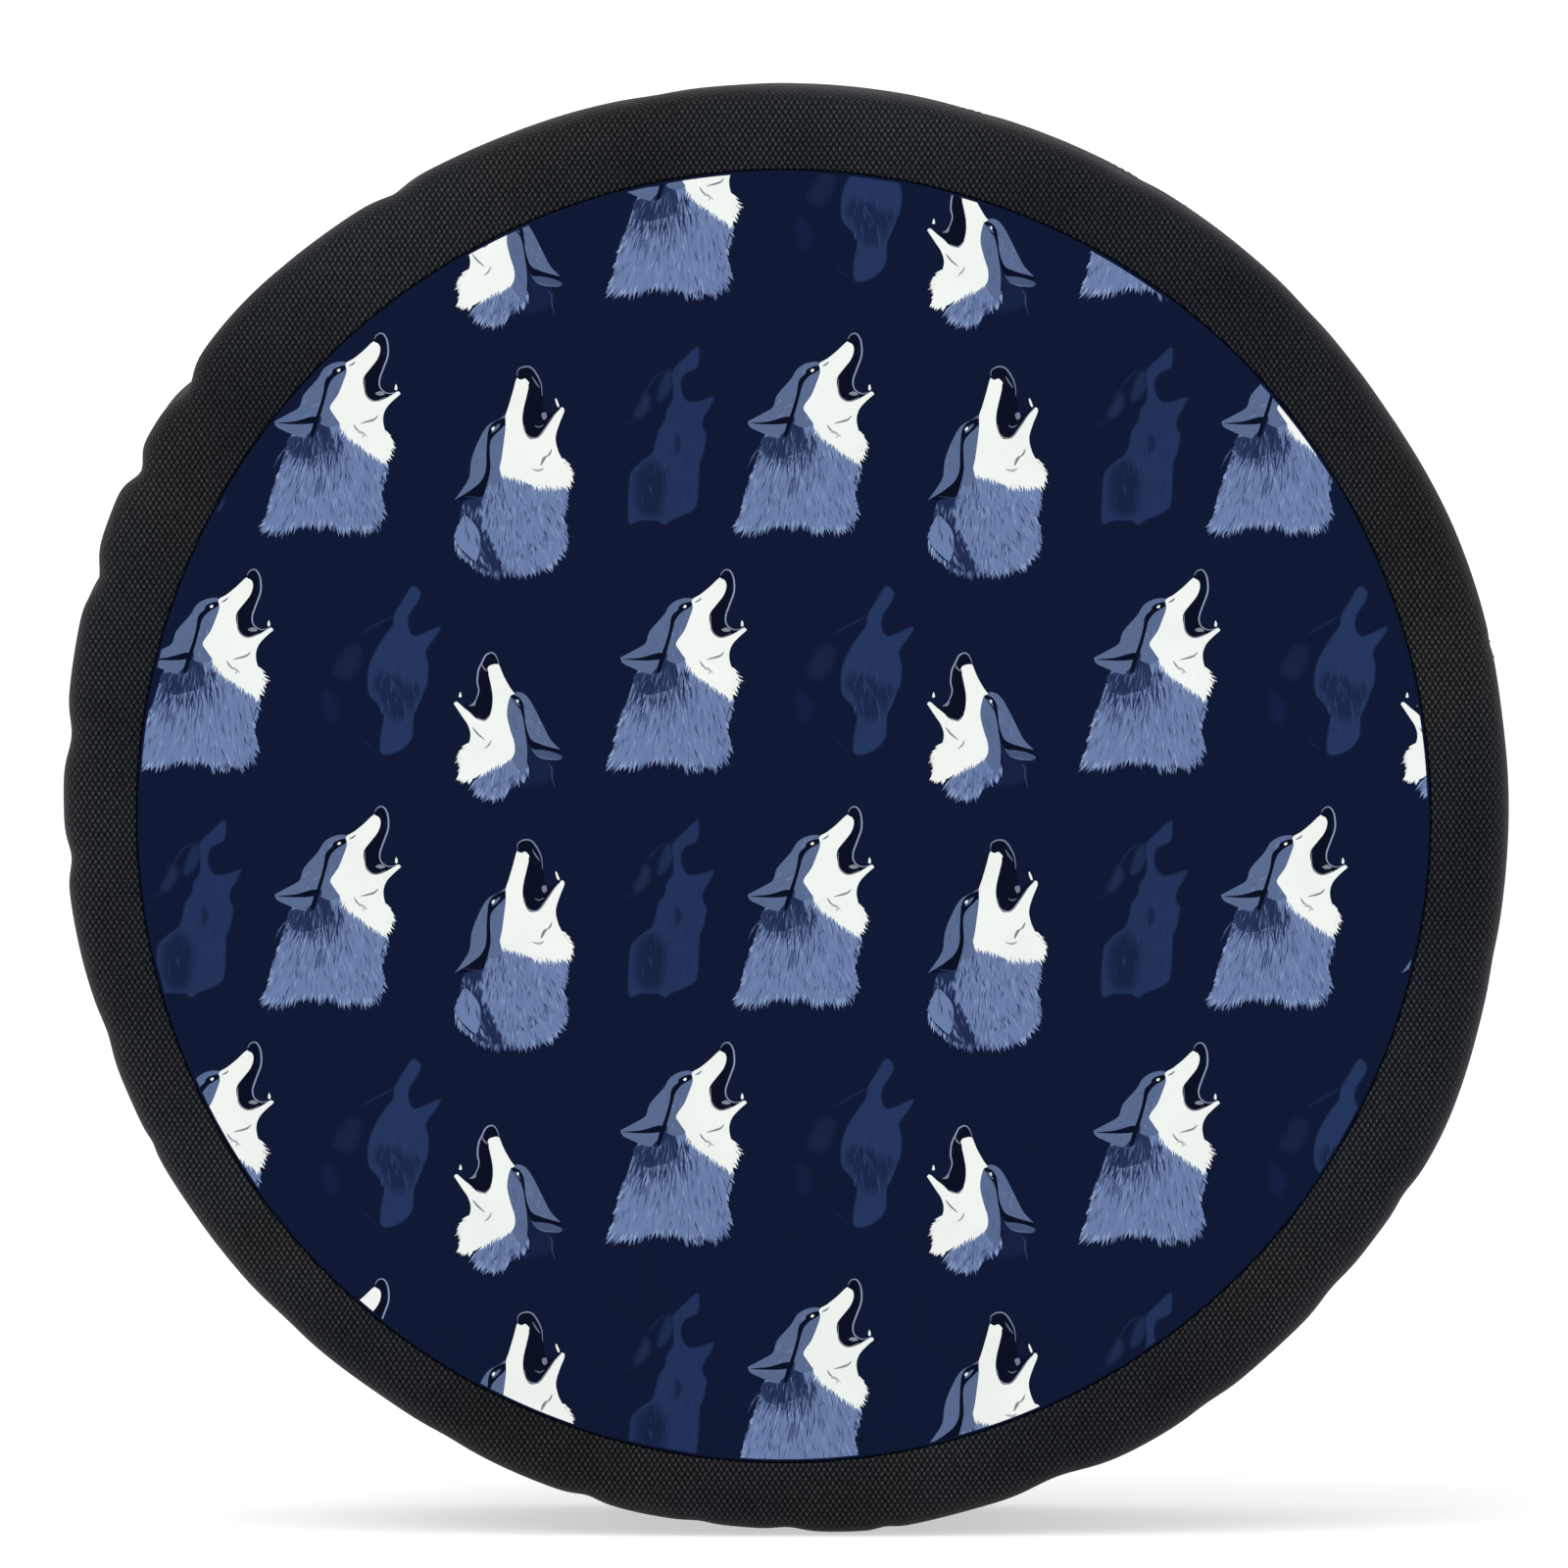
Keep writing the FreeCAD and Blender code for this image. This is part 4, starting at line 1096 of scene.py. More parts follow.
def shadow_short(seed):
    """A second faint head, turned a little more, on a broad neck."""
    d = Drawing(seed)
    d.line(shade(24, 34, 60), 1.5, [(27, 81), (20.5, 78.5), (16, 73.5), (14, 69)])
    d.soft(shade(31, 42, 75), [(13, 69), (15.5, 66), (15, 61), (10.5, 56), (7.5, 57), (10, 62.5)], 1.3)
    d.line(shade(20, 30, 56), 1.4, [(0, 51.5), (4, 53), (10, 55.5)])
    d.soft(shade(28, 43, 77), [(23.5, 78.5), (20.5, 71), (19.5, 64.5), (23.5, 66), (27, 72.5),
        (26.5, 79)], 1.0)
    d.soft(shade(34, 49, 88), [(40, 92), (40.5, 86.5), (39.5, 81.5), (33.8, 78.5), (31.3, 74),
        (32.2, 67.8), (35.5, 64), (40.5, 64.3), (44.5, 65.5), (48.3, 66.4), (46, 61), (43, 56),
        (42.5, 51), (44.3, 47.5), (43.8, 42.5), (42.6, 37), (41, 33.5), (40.5, 26), (39.6, 12),
        (35.5, 7.5), (27, 4), (23, 1.5), (18.5, 4), (10.5, 3.5), (5, 2), (4.5, 11), (5, 19.5), (6, 28),
        (10, 32), (16.5, 37.5), (18.4, 42.5), (20, 49.5), (23.3, 54.5), (24, 59.5), (27.3, 65),
        (27.6, 72.5), (27, 79.5), (33.5, 86.5)], 0.5)
    d.soft(shade(22, 34, 66), [(9.5, 29), (15.5, 34), (20, 32.5), (24, 25.5), (23, 15.5), (20.5, 6.5),
        (12.5, 6), (8.5, 13), (8.5, 23)], 2.0, shade(34, 49, 88))
    d.soft(shade(24, 35, 69), [(28.8, 48), (31.6, 44.5), (30.8, 39.5), (28.8, 36), (28.2, 41)], 0.8,
        shade(34, 49, 88))
    d.coat([shade(28, 43, 78), shade(37, 53, 92)], [(12, 34), (40, 50), (40, 10), (24, 4), (8, 6)], 26,
        lambda x, z: 268, (4, 10), 1.0)
    return d.shapes


# Each motif and the place of its lower left corner in the tile, in millimetres from the face's middle.
MOTIFS = [
    (shadow_tall, 31, (-237.25, 31.75)),
    (shadow_short, 32, (-83.75, 147.75)),
    (head_right, 33, (-267.25, 140.75)),
    (head_right, 34, (-90.75, 20.25)),
    (head_up, 35, (-170.75, 120.25)),
    (head_left, 36, (-168.25, 7.75)),
]


def patch(rim, frame_box, shapes):
    """Cuts one motif's rectangle up along its outlines, inside the face's rim. Gives (triangle, ink)."""
    (x0, z0), (x1, z1) = frame_box
    outlines = [[(x0, z0), (x1, z0), (x1, z1), (x0, z1)]] + [outline for _, outline in shapes]
    far = max(math.hypot(x, z) for x in (x0, x1) for z in (z0, z1))
    if far > rim[0][0]:
        outlines.append(rim)
    verts = []
    polygons = []
    for outline in outlines:
        first = len(verts)
        verts.extend(Vector(p) for p in (outline if signed_area(outline) > 0 else outline[::-1]))
        polygons.append(list(range(first, len(verts))))
    spots, _, faces, _, _, _ = delaunay_2d_cdt(verts, [], polygons, 0, 1e-5, False)
    layers = []
    for colour, outline in reversed(shapes):
        xs = [p[0] for p in outline]
        zs = [p[1] for p in outline]
        layers.append((min(xs), max(xs), min(zs), max(zs), outline, colour))
    reach = rim[0][0] * math.cos(math.pi / max(len(rim), 720))
    triangles = []
    for face in faces:
        corners = [tuple(spots[i]) for i in face]
        x = sum(p[0] for p in corners) / 3
        z = sum(p[1] for p in corners) / 3
        if not (x0 < x < x1 and z0 < z < z1) or math.hypot(x, z) > reach:
            continue
        ink = GROUND
        for left, right, low, high, outline, colour in layers:
            if left < x < right and low < z < high and inside((x, z), outline):
                ink = colour
                break
        triangles.append((corners, ink))
    return triangles


def motif_box(shapes):
    """The rectangle that holds a motif, with a little ground round it."""
    xs = [x for _, outline in shapes for x, _ in outline]
    zs = [z for _, outline in shapes for _, z in outline]
    return (min(xs) - 0.5, min(zs) - 0.5), (max(xs) + 0.5, max(zs) + 0.5)


def moved(outline, dx, dz):
    return [(x + dx, z + dz) for x, z in outline]


def placings(corner, frame_box, radius):
    """Where a motif falls on the face: its offset and its rectangle there."""
    (x0, z0), (x1, z1) = frame_box
    for column in range(-2, 4):
        for row in range(-3, 3):
            dx = corner[0] + column * TILE
            dz = corner[1] + row * TILE
            left, right, low, high = dx + x0, dx + x1, dz + z0, dz + z1
            if math.hypot(clamp(0, left, right), clamp(0, low, high)) <= radius:
                yield dx, dz, ((left, low), (right, high))


def ground_patches(rim, boxes):
    """The plain ground between the motifs' rectangles."""
    verts = [Vector(p) for p in rim]
    polygons = [list(range(len(rim)))]
    for (x0, z0), (x1, z1) in boxes:
        first = len(verts)
        verts.extend(Vector(p) for p in ((x0, z0), (x1, z0), (x1, z1), (x0, z1)))
        polygons.append(list(range(first, first + 4)))
    spots, _, faces, _, _, sources = delaunay_2d_cdt(verts, [], polygons, 1, 1e-5, True)
    plain = [face for face, source in zip(faces, sources) if list(source) == [0]]
    return [([tuple(spots[i]) for i in face], GROUND) for face in plain]


def printed_patches(rim):
    """Every patch of the print on the face, with its ink."""
    radius = rim[0][0]
    patches = []
    boxes = []
    for make, seed, corner in MOTIFS:
        motif = make(seed)
        motif_frame = motif_box(motif)
        whole = patch([(1e4, 0.0)], motif_frame, motif)
        for dx, dz, frame_box in placings(corner, motif_frame, radius - 0.3):
            (left, low), (right, high) = frame_box
            boxes.append(frame_box)
            if math.hypot(max(abs(left), abs(right)), max(abs(low), abs(high))) < radius - 0.3:
                patches.extend((moved(triangle, dx, dz), ink) for triangle, ink in whole)
                continue
            placed = [(colour, moved(outline, dx, dz)) for colour, outline in motif]
            placed = [s for s in placed if min(math.hypot(x, z) for x, z in s[1]) < radius]
            patches.extend(patch(rim, frame_box, placed))
    patches.extend(ground_patches(rim, boxes))
    return patches


def joined(patches):
    """The patches as one mesh: shared points, triangles and their inks."""
    index = {}
    spots = []
    faces = []
    inks = []
    for triangle, ink in patches:
        face = []
        for x, z in triangle:
            key = (round(x, 3), round(z, 3))
            if key not in index:
                index[key] = len(spots)
                spots.append((x, z))
            face.append(index[key])
        if len(set(face)) < 3:
            continue
        (ax, az), (bx, bz), (cx, cz) = (spots[i] for i in face)
        if (bx - ax) * (cz - az) - (bz - az) * (cx - ax) < 0:
            face.reverse()
        faces.append(face)
        inks.append(ink)
    return spots, faces, inks


def face_rim(radius, around=720):
    """The round edge of the face's flat part, in millimetres."""
    rim = []
    for k in range(around):
        a = 2 * math.pi * k / around
        rim.append((math.cos(a) * radius, math.sin(a) * radius))
    return rim


def edge_ring(points, faces, border):
    """The points of the flat part's outer edge, in order of their angle."""
    uses = {}
    for face in faces:
        for a, b in zip(face, face[1:] + face[:1]):
            key = (min(a, b), max(a, b))
            uses[key] = uses.get(key, 0) + 1
    edge = {i for pair, count in uses.items() if count == 1 for i in pair}
    edge = {i for i in edge if math.hypot(points[i].x, points[i].z) > border}
    return sorted(edge, key=lambda i: math.atan2(points[i].z, points[i].x))


def face_profile():
    """From the flat part's edge round the turned lip to the inside, as (radius, y), and where the
    printed side ends."""
    profile = []
    for k in range(1, 5):
        a = math.pi / 2 * k / 4
        radius = PANEL_RADIUS - ROUNDING * (1 - math.sin(a))
        profile.append((radius, FACE_Y + ROUNDING * (1 - math.cos(a))))
    inner = PANEL_RADIUS - CLOTH
    back = FACE_Y + CLOTH
    profile += [(PANEL_RADIUS, LIP_Y - 4 * MM), (PANEL_RADIUS, LIP_Y), (inner, LIP_Y)]
    printed = len(profile)
    profile += [(inner, LIP_Y - 4 * MM), (inner, FACE_Y + 2.2 * MM)]
    profile += [(inner - 0.5 * MM, back + 0.35 * MM), (inner - 1.6 * MM, back)]
    profile += [(radius, back) for radius in (0.300, 0.240, 0.160, 0.080)]
    return profile, printed


def close_face(points, faces, ring):
    """Adds the lip and the inside to the flat part. Gives each face's material number."""
    profile, printed = face_profile()
    material_of = [0] * len(faces)
    angles = [math.atan2(points[i].z, points[i].x) for i in ring]
    count = len(ring)
    previous = ring
    for step, (radius, y) in enumerate(profile):
        start = len(points)
        for a in angles:
            points.append(Vector((math.cos(a) * radius, y, math.sin(a) * radius)))
        current = list(range(start, start + count))
        for k in range(count):
            m = (k + 1) % count
            faces.append([previous[k], current[k], current[m], previous[m]])
            material_of.append(1 if step >= printed else 0)
        previous = current
    middle = len(points)
    points.append(Vector((0, FACE_Y + CLOTH, 0)))
    for k in range(count):
        faces.append([previous[k], middle, previous[(k + 1) % count]])
        material_of.append(1)
    return material_of


def face_print(materials):
    """The front panel: its outside is cut up along the outlines of the print, each patch with its ink."""
    flat_radius = (PANEL_RADIUS - ROUNDING) / MM
    spots, faces, inks = joined(printed_patches(face_rim(flat_radius)))
    points = [Vector((x * MM, FACE_Y, z * MM)) for x, z in spots]
    flat_faces = len(faces)
    ring = edge_ring(points, faces, (flat_radius - 0.05) * MM)
    material_of = close_face(points, faces, ring)
    mesh = bpy.data.meshes.new("face_print")
    mesh.from_pydata(points, [], faces)
    mesh.color_attributes.new("ink", "FLOAT_COLOR", "CORNER")
    mesh.uv_layers.new(name="strip")
    values = []
    flat = []
    for index, face in enumerate(faces):
        values.extend((inks[index] if index < flat_faces else GROUND) * len(face))
        for i in face:
            flat.extend((points[i].x * 100, points[i].z * 100))
    mesh.color_attributes["ink"].data.foreach_set("color", values)
    mesh.uv_layers["strip"].data.foreach_set("uv", flat)
    obj = new_object("face_print", mesh)
    dress(obj, "printed_cloth", *materials)
    mesh.polygons.foreach_set("material_index", material_of)
    mesh.polygons.foreach_set("use_smooth", [i >= flat_faces for i in range(len(faces))])
    mesh.update()
    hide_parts("front_panel")


# ---------------------------------------------------------------- materials

class Nodes:
    """Short way to write a material's node tree."""

    def __init__(self, name, roughness, specular):
        self.material = bpy.data.materials.new(name)
        self.material.use_nodes = True
        self.tree = self.material.node_tree
        self.shader = self.tree.nodes["Principled BSDF"]
        self.shader.inputs["Roughness"].default_value = roughness
        self.shader.inputs["Specular IOR Level"].default_value = specular

    def add(self, kind, **settings):
        node = self.tree.nodes.new(kind)
        for key, value in settings.items():
            setattr(node, key, value)
        return node

    def link(self, source, target):
        self.tree.links.new(source, target)

    def math(self, operation, first, second=None, third=None, limit=False):
        node = self.add("ShaderNodeMath", operation=operation, use_clamp=limit)
        for socket, value in zip(node.inputs, (first, second, third)):
            if value is None:
                continue
            if isinstance(value, (int, float)):
                socket.default_value = value
            else:
                self.link(value, socket)
        return node.outputs[0]

    def mix(self, share, first, second, blend="MIX"):
        node = self.add("ShaderNodeMix", data_type="RGBA", blend_type=blend)
        for socket, value in zip((node.inputs[0], node.inputs[6], node.inputs[7]), (share, first, second)):
            if isinstance(value, (int, float, tuple)):
                socket.default_value = value
            else:
                self.link(value, socket)
        return node.outputs[2]

    def ramp(self, value, stops):
        node = self.add("ShaderNodeValToRGB")
        elements = node.color_ramp.elements
        while len(elements) < len(stops):
            elements.new(0.5)
        for element, (position, colour) in zip(elements, stops):
            element.position = position
            element.color = colour
        self.link(value, node.inputs[0])
        return node.outputs[0]

    def noise(self, vector, scale, detail=2.0, roughness=0.5):
        node = self.add("ShaderNodeTexNoise")
        node.inputs["Scale"].default_value = scale
        node.inputs["Detail"].default_value = detail
        node.inputs["Roughness"].default_value = roughness
        self.link(vector, node.inputs["Vector"])
        return node.outputs[0]

    def uv(self, layer):
        """The two coordinates of a uv layer, in centimetres of cloth."""
        node = self.add("ShaderNodeUVMap", uv_map=layer)
        parts = self.add("ShaderNodeSeparateXYZ")
        self.link(node.outputs[0], parts.inputs[0])
        return node.outputs[0], parts.outputs[0], parts.outputs[1]

    def place(self):
        """Where a point is in the object, in metres."""
        return self.add("ShaderNodeTexCoord").outputs["Object"]

    def wave(self, value, period):
        return self.math("COSINE", self.math("MULTIPLY", value, 2 * math.pi / period))

    def bump(self, height, strength, distance):
        node = self.add("ShaderNodeBump")
        node.inputs["Strength"].default_value = strength
        node.inputs["Distance"].default_value = distance
        self.link(height, node.inputs["Height"])
        self.link(node.outputs[0], self.shader.inputs["Normal"])

    def colour(self, source):
        self.link(source, self.shader.inputs["Base Color"])

    def roughness(self, value, low, high):
        node = self.add("ShaderNodeMapRange")
        node.inputs["To Min"].default_value = low
        node.inputs["To Max"].default_value = high
        self.link(value, node.inputs["Value"])
        self.link(node.outputs[0], self.shader.inputs["Roughness"])


def printed_material():
    """Smooth printed polyester: the ink with a fine plain weave and hardly any gloss."""
    n = Nodes("printed_polyester", 0.75, 0.01)
    uv, u, v = n.uv("strip")
    ink = n.add("ShaderNodeVertexColor", layer_name="ink").outputs[0]
    warp = n.wave(u, 0.055)
    weft = n.wave(v, 0.055)
    weave = n.math("MULTIPLY", warp, weft)
    cloudy = n.noise(uv, 0.35, 3)
    grain = n.noise(uv, 14, 2)
    level = n.math("ADD", n.math("MULTIPLY", weave, 0.05), n.math("MULTIPLY", cloudy, 0.1))
    level = n.math("ADD", level, n.math("MULTIPLY", grain, 0.06))
    level = n.math("ADD", level, 0.69)
    grey = n.add("ShaderNodeCombineColor")
    for socket in grey.inputs:
        n.link(level, socket)
    n.colour(n.mix(1.0, ink, grey.outputs[0], "MULTIPLY"))
    n.roughness(grain, 0.64, 0.78)
    n.bump(n.math("ADD", n.math("MULTIPLY", weave, 0.6), n.math("MULTIPLY", grain, 0.5)), 0.25, 0.00012)
    return n.material


def panel_back_material():
    """The unprinted back of the face cloth, with its pale coating."""
    n = Nodes("panel_back", 0.55, 0.3)
    uv, u, v = n.uv("strip")
    weave = n.math("MULTIPLY", n.wave(u, 0.055), n.wave(v, 0.055))
    cloudy = n.noise(uv, 0.12, 4)
    streak = n.noise(uv, 1.6, 3)
    tone = n.ramp(cloudy, [(0.3, (0.35, 0.38, 0.44, 1)), (0.7, (0.4, 0.43, 0.48, 1))])
    n.colour(n.mix(n.math("MULTIPLY", streak, 0.35), tone, (0.5, 0.52, 0.55, 1)))
    n.roughness(streak, 0.48, 0.66)
    n.bump(n.math("ADD", n.math("MULTIPLY", weave, 0.5), streak), 0.3, 0.0002)
    return n.material


def dot_weave(n, u, v):
    """The raised dots of the oxford cloth: rows 2.35 mm apart, each shifted by half of 3.1 mm."""
    return n.math("MULTIPLY", n.wave(u, 0.31), n.wave(v, 0.47))


def oxford_material():
    """Coarse black polyester oxford: near black with grey raised dots, partly thread tone and partly a
    painted highlight; a little uneven in tone.
    """
    n = Nodes("black_oxford_cloth", 0.6, 0.045)
    strip_uv, u, v = n.uv("strip")
    front_uv, x, z = n.uv("front")
    _, share, _ = n.uv("share")
    wobble_s = n.math("MULTIPLY", n.noise(strip_uv, 1.1, 2), 0.16)
    wobble_f = n.math("MULTIPLY", n.noise(front_uv, 1.1, 2), 0.16)
    strip = dot_weave(n, n.math("ADD", u, wobble_s), v)
    front = dot_weave(n, n.math("ADD", x, wobble_f), z)
    blend = n.math("SUBTRACT", front, strip)
    dots = n.math("MULTIPLY_ADD", blend, share, strip)
    place = n.place()
    fleck = n.noise(place, 900, 2)
    patch = n.noise(place, 9, 3)
    tint = n.noise(place, 5, 2)
    tuft = n.math("MULTIPLY_ADD", n.math("SUBTRACT", fleck, 0.5), 1.3, dots)
    height = n.math("MULTIPLY_ADD", tuft, 0.5, 0.5, limit=True)
    # Painted highlight, in part: the higher the weave, the lighter its colour, from near black in the
    # hollows to grey on the raised tops.
    thread = n.ramp(height, [(0.0, (0.0026, 0.0033, 0.0045, 1)), (0.45, (0.0042, 0.0051, 0.0064, 1)),
                             (0.72, (0.0142, 0.0158, 0.0182, 1)), (1.0, (0.05, 0.052, 0.056, 1))])
    cast = n.ramp(tint, [(0.38, (0.86, 0.95, 1.16, 1)), (0.62, (1.08, 1.06, 0.93, 1))])
    level = n.ramp(patch, [(0.3, (0.58, 0.58, 0.58, 1)), (0.7, (1.06, 1.06, 1.06, 1))])
    n.colour(n.mix(1.0, n.mix(1.0, thread, cast, "MULTIPLY"), level, "MULTIPLY"))
    n.roughness(height, 0.72, 0.5)
    n.bump(n.math("ADD", dots, n.math("MULTIPLY", fleck, 0.7)), 0.45, 0.00022)
    return n.material


def oxford_back_material():
    """The coated back of the oxford cloth: dark grey, smooth and slightly shiny."""
    n = Nodes("oxford_back", 0.42, 0.35)
    uv, u, v = n.uv("strip")
    dots = dot_weave(n, u, v)
    place = n.place()
    cloudy = n.noise(place, 14, 4)
    fine = n.noise(place, 420, 2)
    n.colour(n.ramp(cloudy, [(0.25, (0.03, 0.031, 0.034, 1)), (0.75, (0.055, 0.056, 0.06, 1))]))
    n.roughness(cloudy, 0.34, 0.55)
    n.bump(n.math("ADD", n.math("MULTIPLY", dots, 0.35), fine), 0.3, 0.00015)
    return n.material


def tape_material(name, light, dark):
    """Woven binding tape: fine ribs in both directions."""
    n = Nodes(name, 0.75, 0.2)
    place = n.place()
    parts = n.add("ShaderNodeSeparateXYZ")
    n.link(place, parts.inputs[0])
    x, y, z = parts.outputs
    angle = n.math("ARCTAN2", z, x)
    ribs = n.math("COSINE", n.math("MULTIPLY", angle, 1800))
    picks = n.math("COSINE", n.math("MULTIPLY", y, 2 * math.pi / 0.0011))
    weave = n.math("ADD", n.math("MULTIPLY", ribs, 0.6), n.math("MULTIPLY", picks, 0.4))
    fuzz = n.noise(place, 700, 3)
    height = n.math("MULTIPLY_ADD", weave, 0.3, fuzz)
    n.colour(n.ramp(height, [(0.2, dark), (0.8, light)]))
    n.roughness(fuzz, 0.65, 0.85)
    n.bump(height, 0.5, 0.0002)
    return n.material


def thread_material(name, light, dark):
    """Twisted sewing thread."""
    n = Nodes(name, 0.5, 0.3)
    place = n.place()
    parts = n.add("ShaderNodeSeparateXYZ")
    n.link(place, parts.inputs[0])
    twist = n.math("ADD", n.math("MULTIPLY", parts.outputs[0], 1.0),
        n.math("MULTIPLY", parts.outputs[1], 2.0))
    twist = n.math("ADD", twist, n.math("MULTIPLY", parts.outputs[2], 1.0))
    ply = n.math("SINE", n.math("MULTIPLY", twist, 2 * math.pi / 0.0009))
    fuzz = n.noise(place, 1500, 2)
    height = n.math("MULTIPLY_ADD", ply, 0.3, fuzz)
    n.colour(n.ramp(height, [(0.2, dark), (0.8, light)]))
    n.roughness(fuzz, 0.4, 0.65)
    n.bump(height, 0.5, 0.0001)
    return n.material


def elastic_material():
    """White braided elastic with ribs along its length and crosswise picks."""
    n = Nodes("braided_elastic", 0.7, 0.25)
    place = n.place()
    parts = n.add("ShaderNodeSeparateXYZ")
    n.link(place, parts.inputs[0])
    x, y, z = parts.outputs
    angle = n.math("ARCTAN2", z, x)
    ribs = n.math("COSINE", n.math("MULTIPLY", y, 2 * math.pi / 0.0015))
    picks = n.math("COSINE", n.math("MULTIPLY", angle, 1300))
    height = n.math("ADD", ribs, n.math("MULTIPLY", picks, 0.5))
    stain = n.noise(place, 60, 3)
    level = n.math("MULTIPLY_ADD", height, 0.25, 0.5, limit=True)
    tone = n.ramp(level, [(0.0, (0.42, 0.42, 0.4, 1)), (1.0, (0.78, 0.78, 0.75, 1))])
    n.colour(n.mix(n.math("MULTIPLY", stain, 0.3), tone, (0.6, 0.58, 0.52, 1)))
    n.roughness(stain, 0.6, 0.8)
    n.bump(height, 0.5, 0.0003)
    return n.material


def label_material():
    """A blank woven satin label with selvedge lines along its two long edges."""
    n = Nodes("label_satin_cloth", 0.4, 0.4)
    n.shader.inputs["Anisotropic"].default_value = 0.4
    uv, u, v = n.uv("strip")
    fibres = n.math("MULTIPLY", n.wave(u, 0.035), n.wave(v, 0.12))
    edge = n.math("ABSOLUTE", n.math("SUBTRACT", u, 1.6))
    selvedge = n.math("GREATER_THAN", edge, 1.48)
    cloudy = n.noise(uv, 1.3, 3)
    tone = n.ramp(cloudy, [(0.3, (0.66, 0.66, 0.63, 1)), (0.7, (0.8, 0.8, 0.77, 1))])
    n.colour(n.mix(n.math("MULTIPLY", selvedge, 0.5), tone, (0.5, 0.5, 0.48, 1)))
    n.roughness(cloudy, 0.34, 0.5)
    n.bump(n.math("ADD", fibres, n.math("MULTIPLY", selvedge, 0.8)), 0.4, 0.00015)
    return n.material


def dress_cad_node(name, material):
    """Gives a CAD node that stays in sight its detailed material."""
    obj = frame["nodes"][name]
    for slot in obj.material_slots:
        slot.material = material
    if not obj.material_slots:
        obj.data.materials.append(material)


# ---------------------------------------------------------------- studio

def floor(level):
    """A plain pale floor that reaches to the horizon."""
    size = 150
    mesh = bpy.data.meshes.new("studio_floor")
    corners = [(-size, -size, level), (size, -size, level), (size, size, level), (-size, size, level)]
    mesh.from_pydata(corners, [], [[0, 1, 2, 3]])
    obj = new_object("studio_floor", mesh)
    n = Nodes("pale_floor", 1.0, 0.0)
    n.colour(n.ramp(n.noise(n.place(), 2.0, 2), [(0.3, (0.5, 0.5, 0.5, 1)), (0.7, (0.52, 0.52, 0.52, 1))]))
    n.shader.inputs["Emission Color"].default_value = (1, 1, 1, 1)
    n.shader.inputs["Emission Strength"].default_value = 0.55
    obj.data.materials.append(n.material)
    obj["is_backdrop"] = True


def lights():
    """White all round, with a broad soft light from above the camera."""
    world = bpy.data.worlds.new("studio")
    world.use_nodes = True
    background = world.node_tree.nodes["Background"]
    background.inputs[0].default_value = (1, 1, 1, 1)
    background.inputs[1].default_value = 1.0
    bpy.context.scene.world = world
    sun = bpy.data.lights.new("softbox", "SUN")
    sun.energy = 1.5
    sun.angle = math.radians(50)
    lamp = bpy.data.objects.new("softbox", sun)
    lamp.rotation_euler = Vector((0.35, 0.55, -0.9)).to_track_quat("-Z", "Y").to_euler()
    bpy.context.scene.collection.objects.link(lamp)


def camera():
    """Square on to the face, from slightly above and very slightly from the right."""
    distance = 12.0
    height = math.radians(2.5)
    side = math.radians(0.6)
    back = Vector((math.sin(side) * math.cos(height), -math.cos(side) * math.cos(height), math.sin(height)))
    up = Vector((0, 0, 1))
    lift = (up - back * up.dot(back)).normalized()
    aim = Vector((0.00025, FACE_Y, 0)) + lift * 0.01675
    data = bpy.data.cameras.new("camera")
    data.sensor_width = 36
    data.lens = 18 / (0.4 / distance)
    data.clip_end = 400
    obj = bpy.data.objects.new("camera", data)
    obj.location = aim + back * distance
    obj.rotation_euler = (-back).to_track_quat("-Z", "Y").to_euler()
    bpy.context.scene.collection.objects.link(obj)
    bpy.context.scene.camera = obj


# ---------------------------------------------------------------- assembly

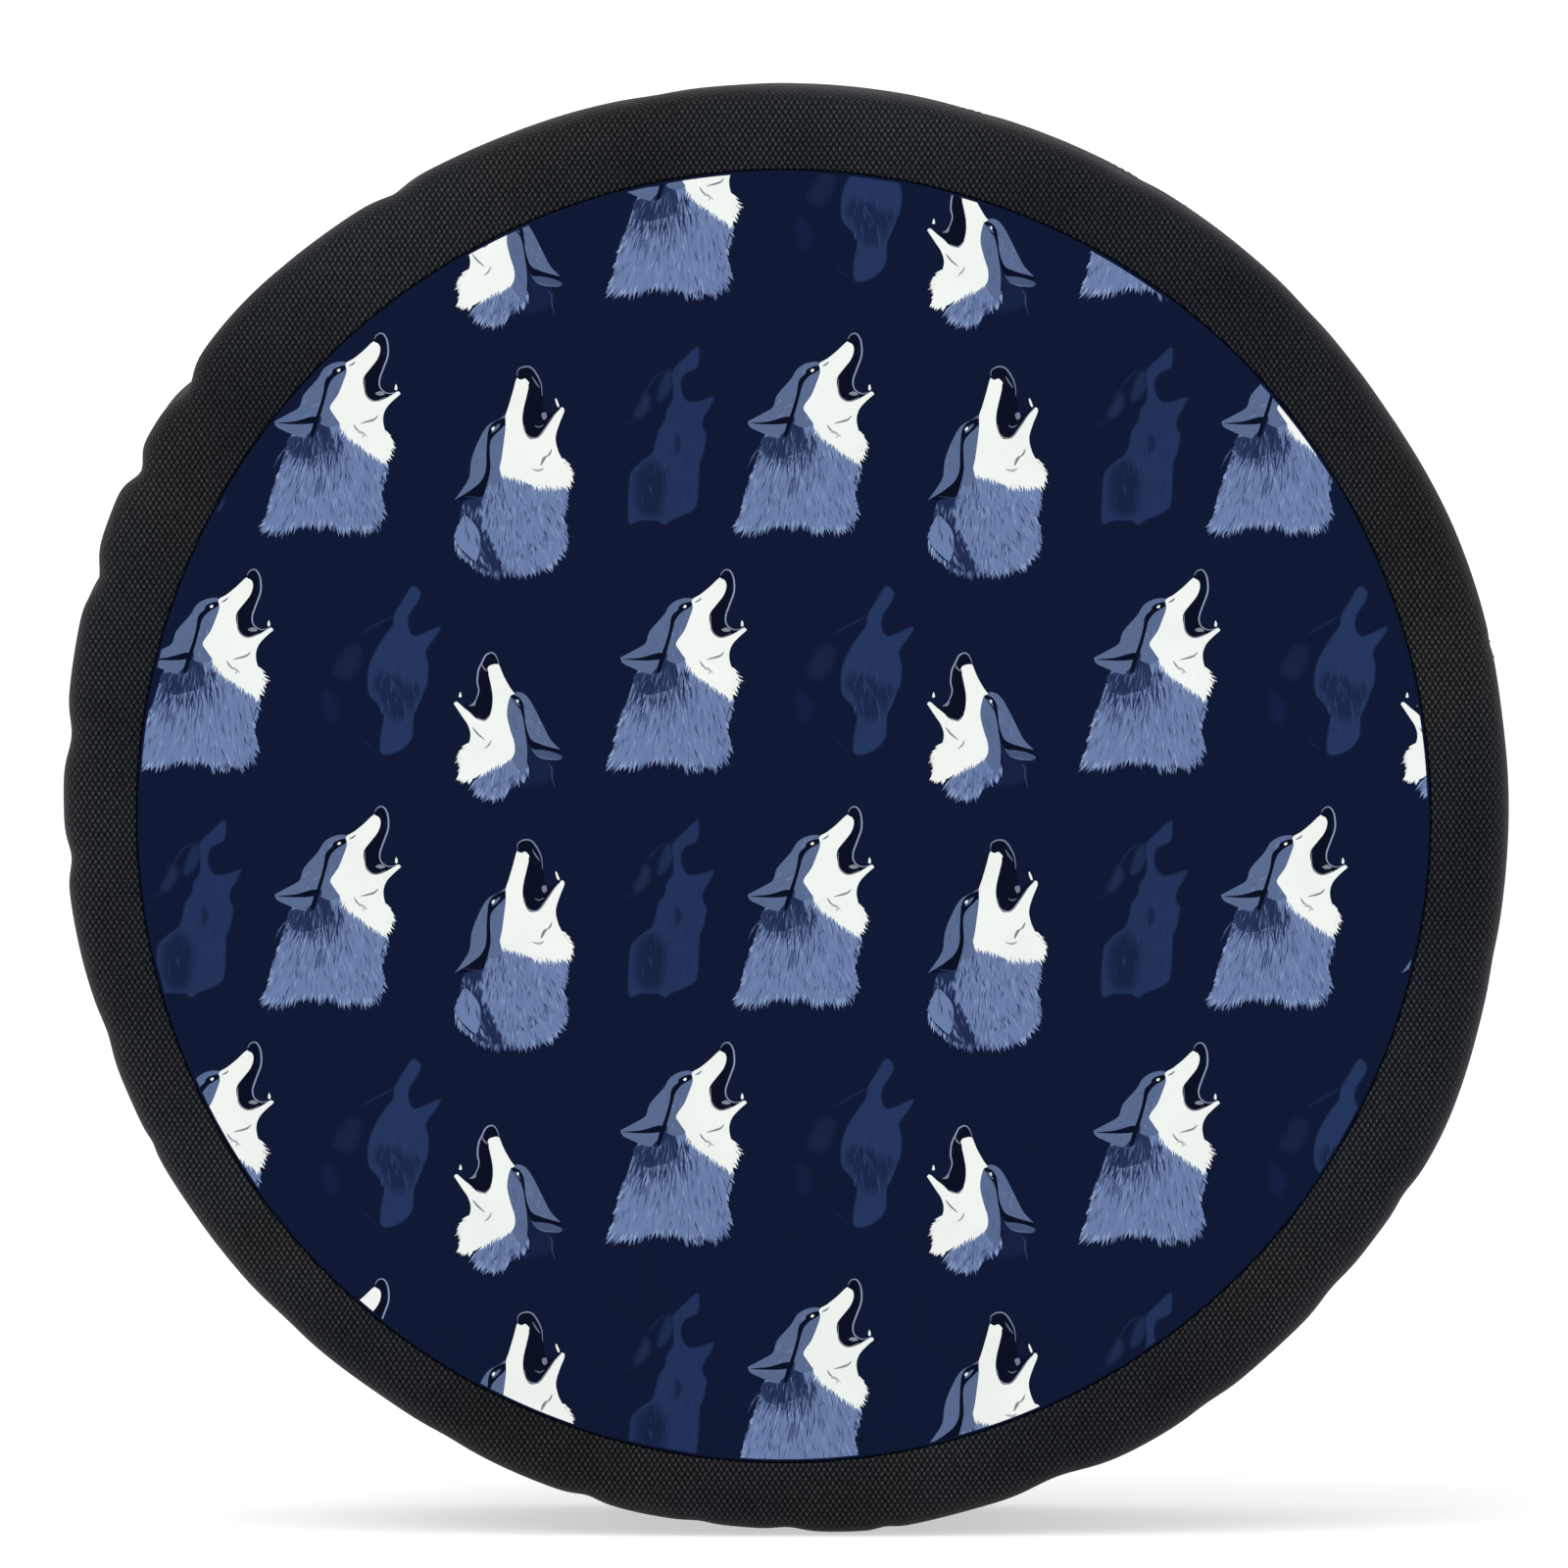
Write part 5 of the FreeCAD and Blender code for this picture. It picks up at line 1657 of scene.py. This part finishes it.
def build():
    """Makes every piece of the cover."""
    oxford = oxford_material()
    oxford_back = oxford_back_material()
    tape = tape_material("binding_tape_cloth", (0.03, 0.03, 0.033, 1), (0.008, 0.008, 0.009, 1))
    thread = thread_material("black_thread_twist", (0.035, 0.036, 0.04, 1), (0.01, 0.01, 0.012, 1))
    white_thread = thread_material("label_thread_twist", (0.85, 0.85, 0.82, 1), (0.5, 0.5, 0.48, 1))
    cloth = [oxford, oxford_back]

    face_print([printed_material(), panel_back_material()])
    band_half("tread_upper", "tread_band_upper", FIRST_JOIN, cloth)
    band_half("tread_lower", "tread_band_lower", FIRST_JOIN + 180, cloth)
    stitches("front_seam_stitches", front_seam_lines(), thread, "black_thread", ["front_seam_stitching"])
    tread_tape("tread_tape_right", "tread_join_tape_right", FIRST_JOIN, [tape])
    tread_tape("tread_tape_left", "tread_join_tape_left", FIRST_JOIN + 180, [tape])
    stitches("tread_join_stitches", tread_join_lines(), thread, "black_thread", ["tread_join_stitching"])

    sampled = skirt_samples()
    rows = skirt_rows(sampled)
    skirt_half("skirt_left", "rear_skirt_left", rows, sampled, 0, cloth)
    skirt_half("skirt_right", "rear_skirt_right", rows, sampled, SKIRT_COLUMNS // 2, cloth)
    seam_tape_on_skirt("skirt_tape_top", "skirt_join_tape_top", rows, sampled, 0, [tape])
    seam_tape_on_skirt("skirt_tape_bottom", "skirt_join_tape_bottom", rows, sampled, SKIRT_COLUMNS // 2,
        [tape])
    stitches("skirt_join_stitches", skirt_join_lines(rows, sampled), thread, "black_thread",
        ["skirt_join_stitching"])
    stitches("rear_seam_stitches", rear_seam_lines(), thread, "black_thread", ["rear_seam_stitching"])
    hem_casing(cloth)
    stitches("hem_stitches", hem_lines(), thread, "black_thread", ["hem_stitching"])
    label_points = care_label(rows, label_material())
    stitches("label_stitches", label_lines(label_points), white_thread, "label_thread",
        ["care_label_stitching"], pitch=2.6 * MM, radius=0.22 * MM, rise=0.2 * MM)

    dress_cad_node("front_seam_binding", tape)
    dress_cad_node("elastic_join_tape", tape)
    dress_cad_node("hem_elastic", elastic_material())


build()
floor(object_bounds()[0].z - 0.2 * MM)
lights()
camera()
bpy.context.scene.view_settings.view_transform = "Standard"
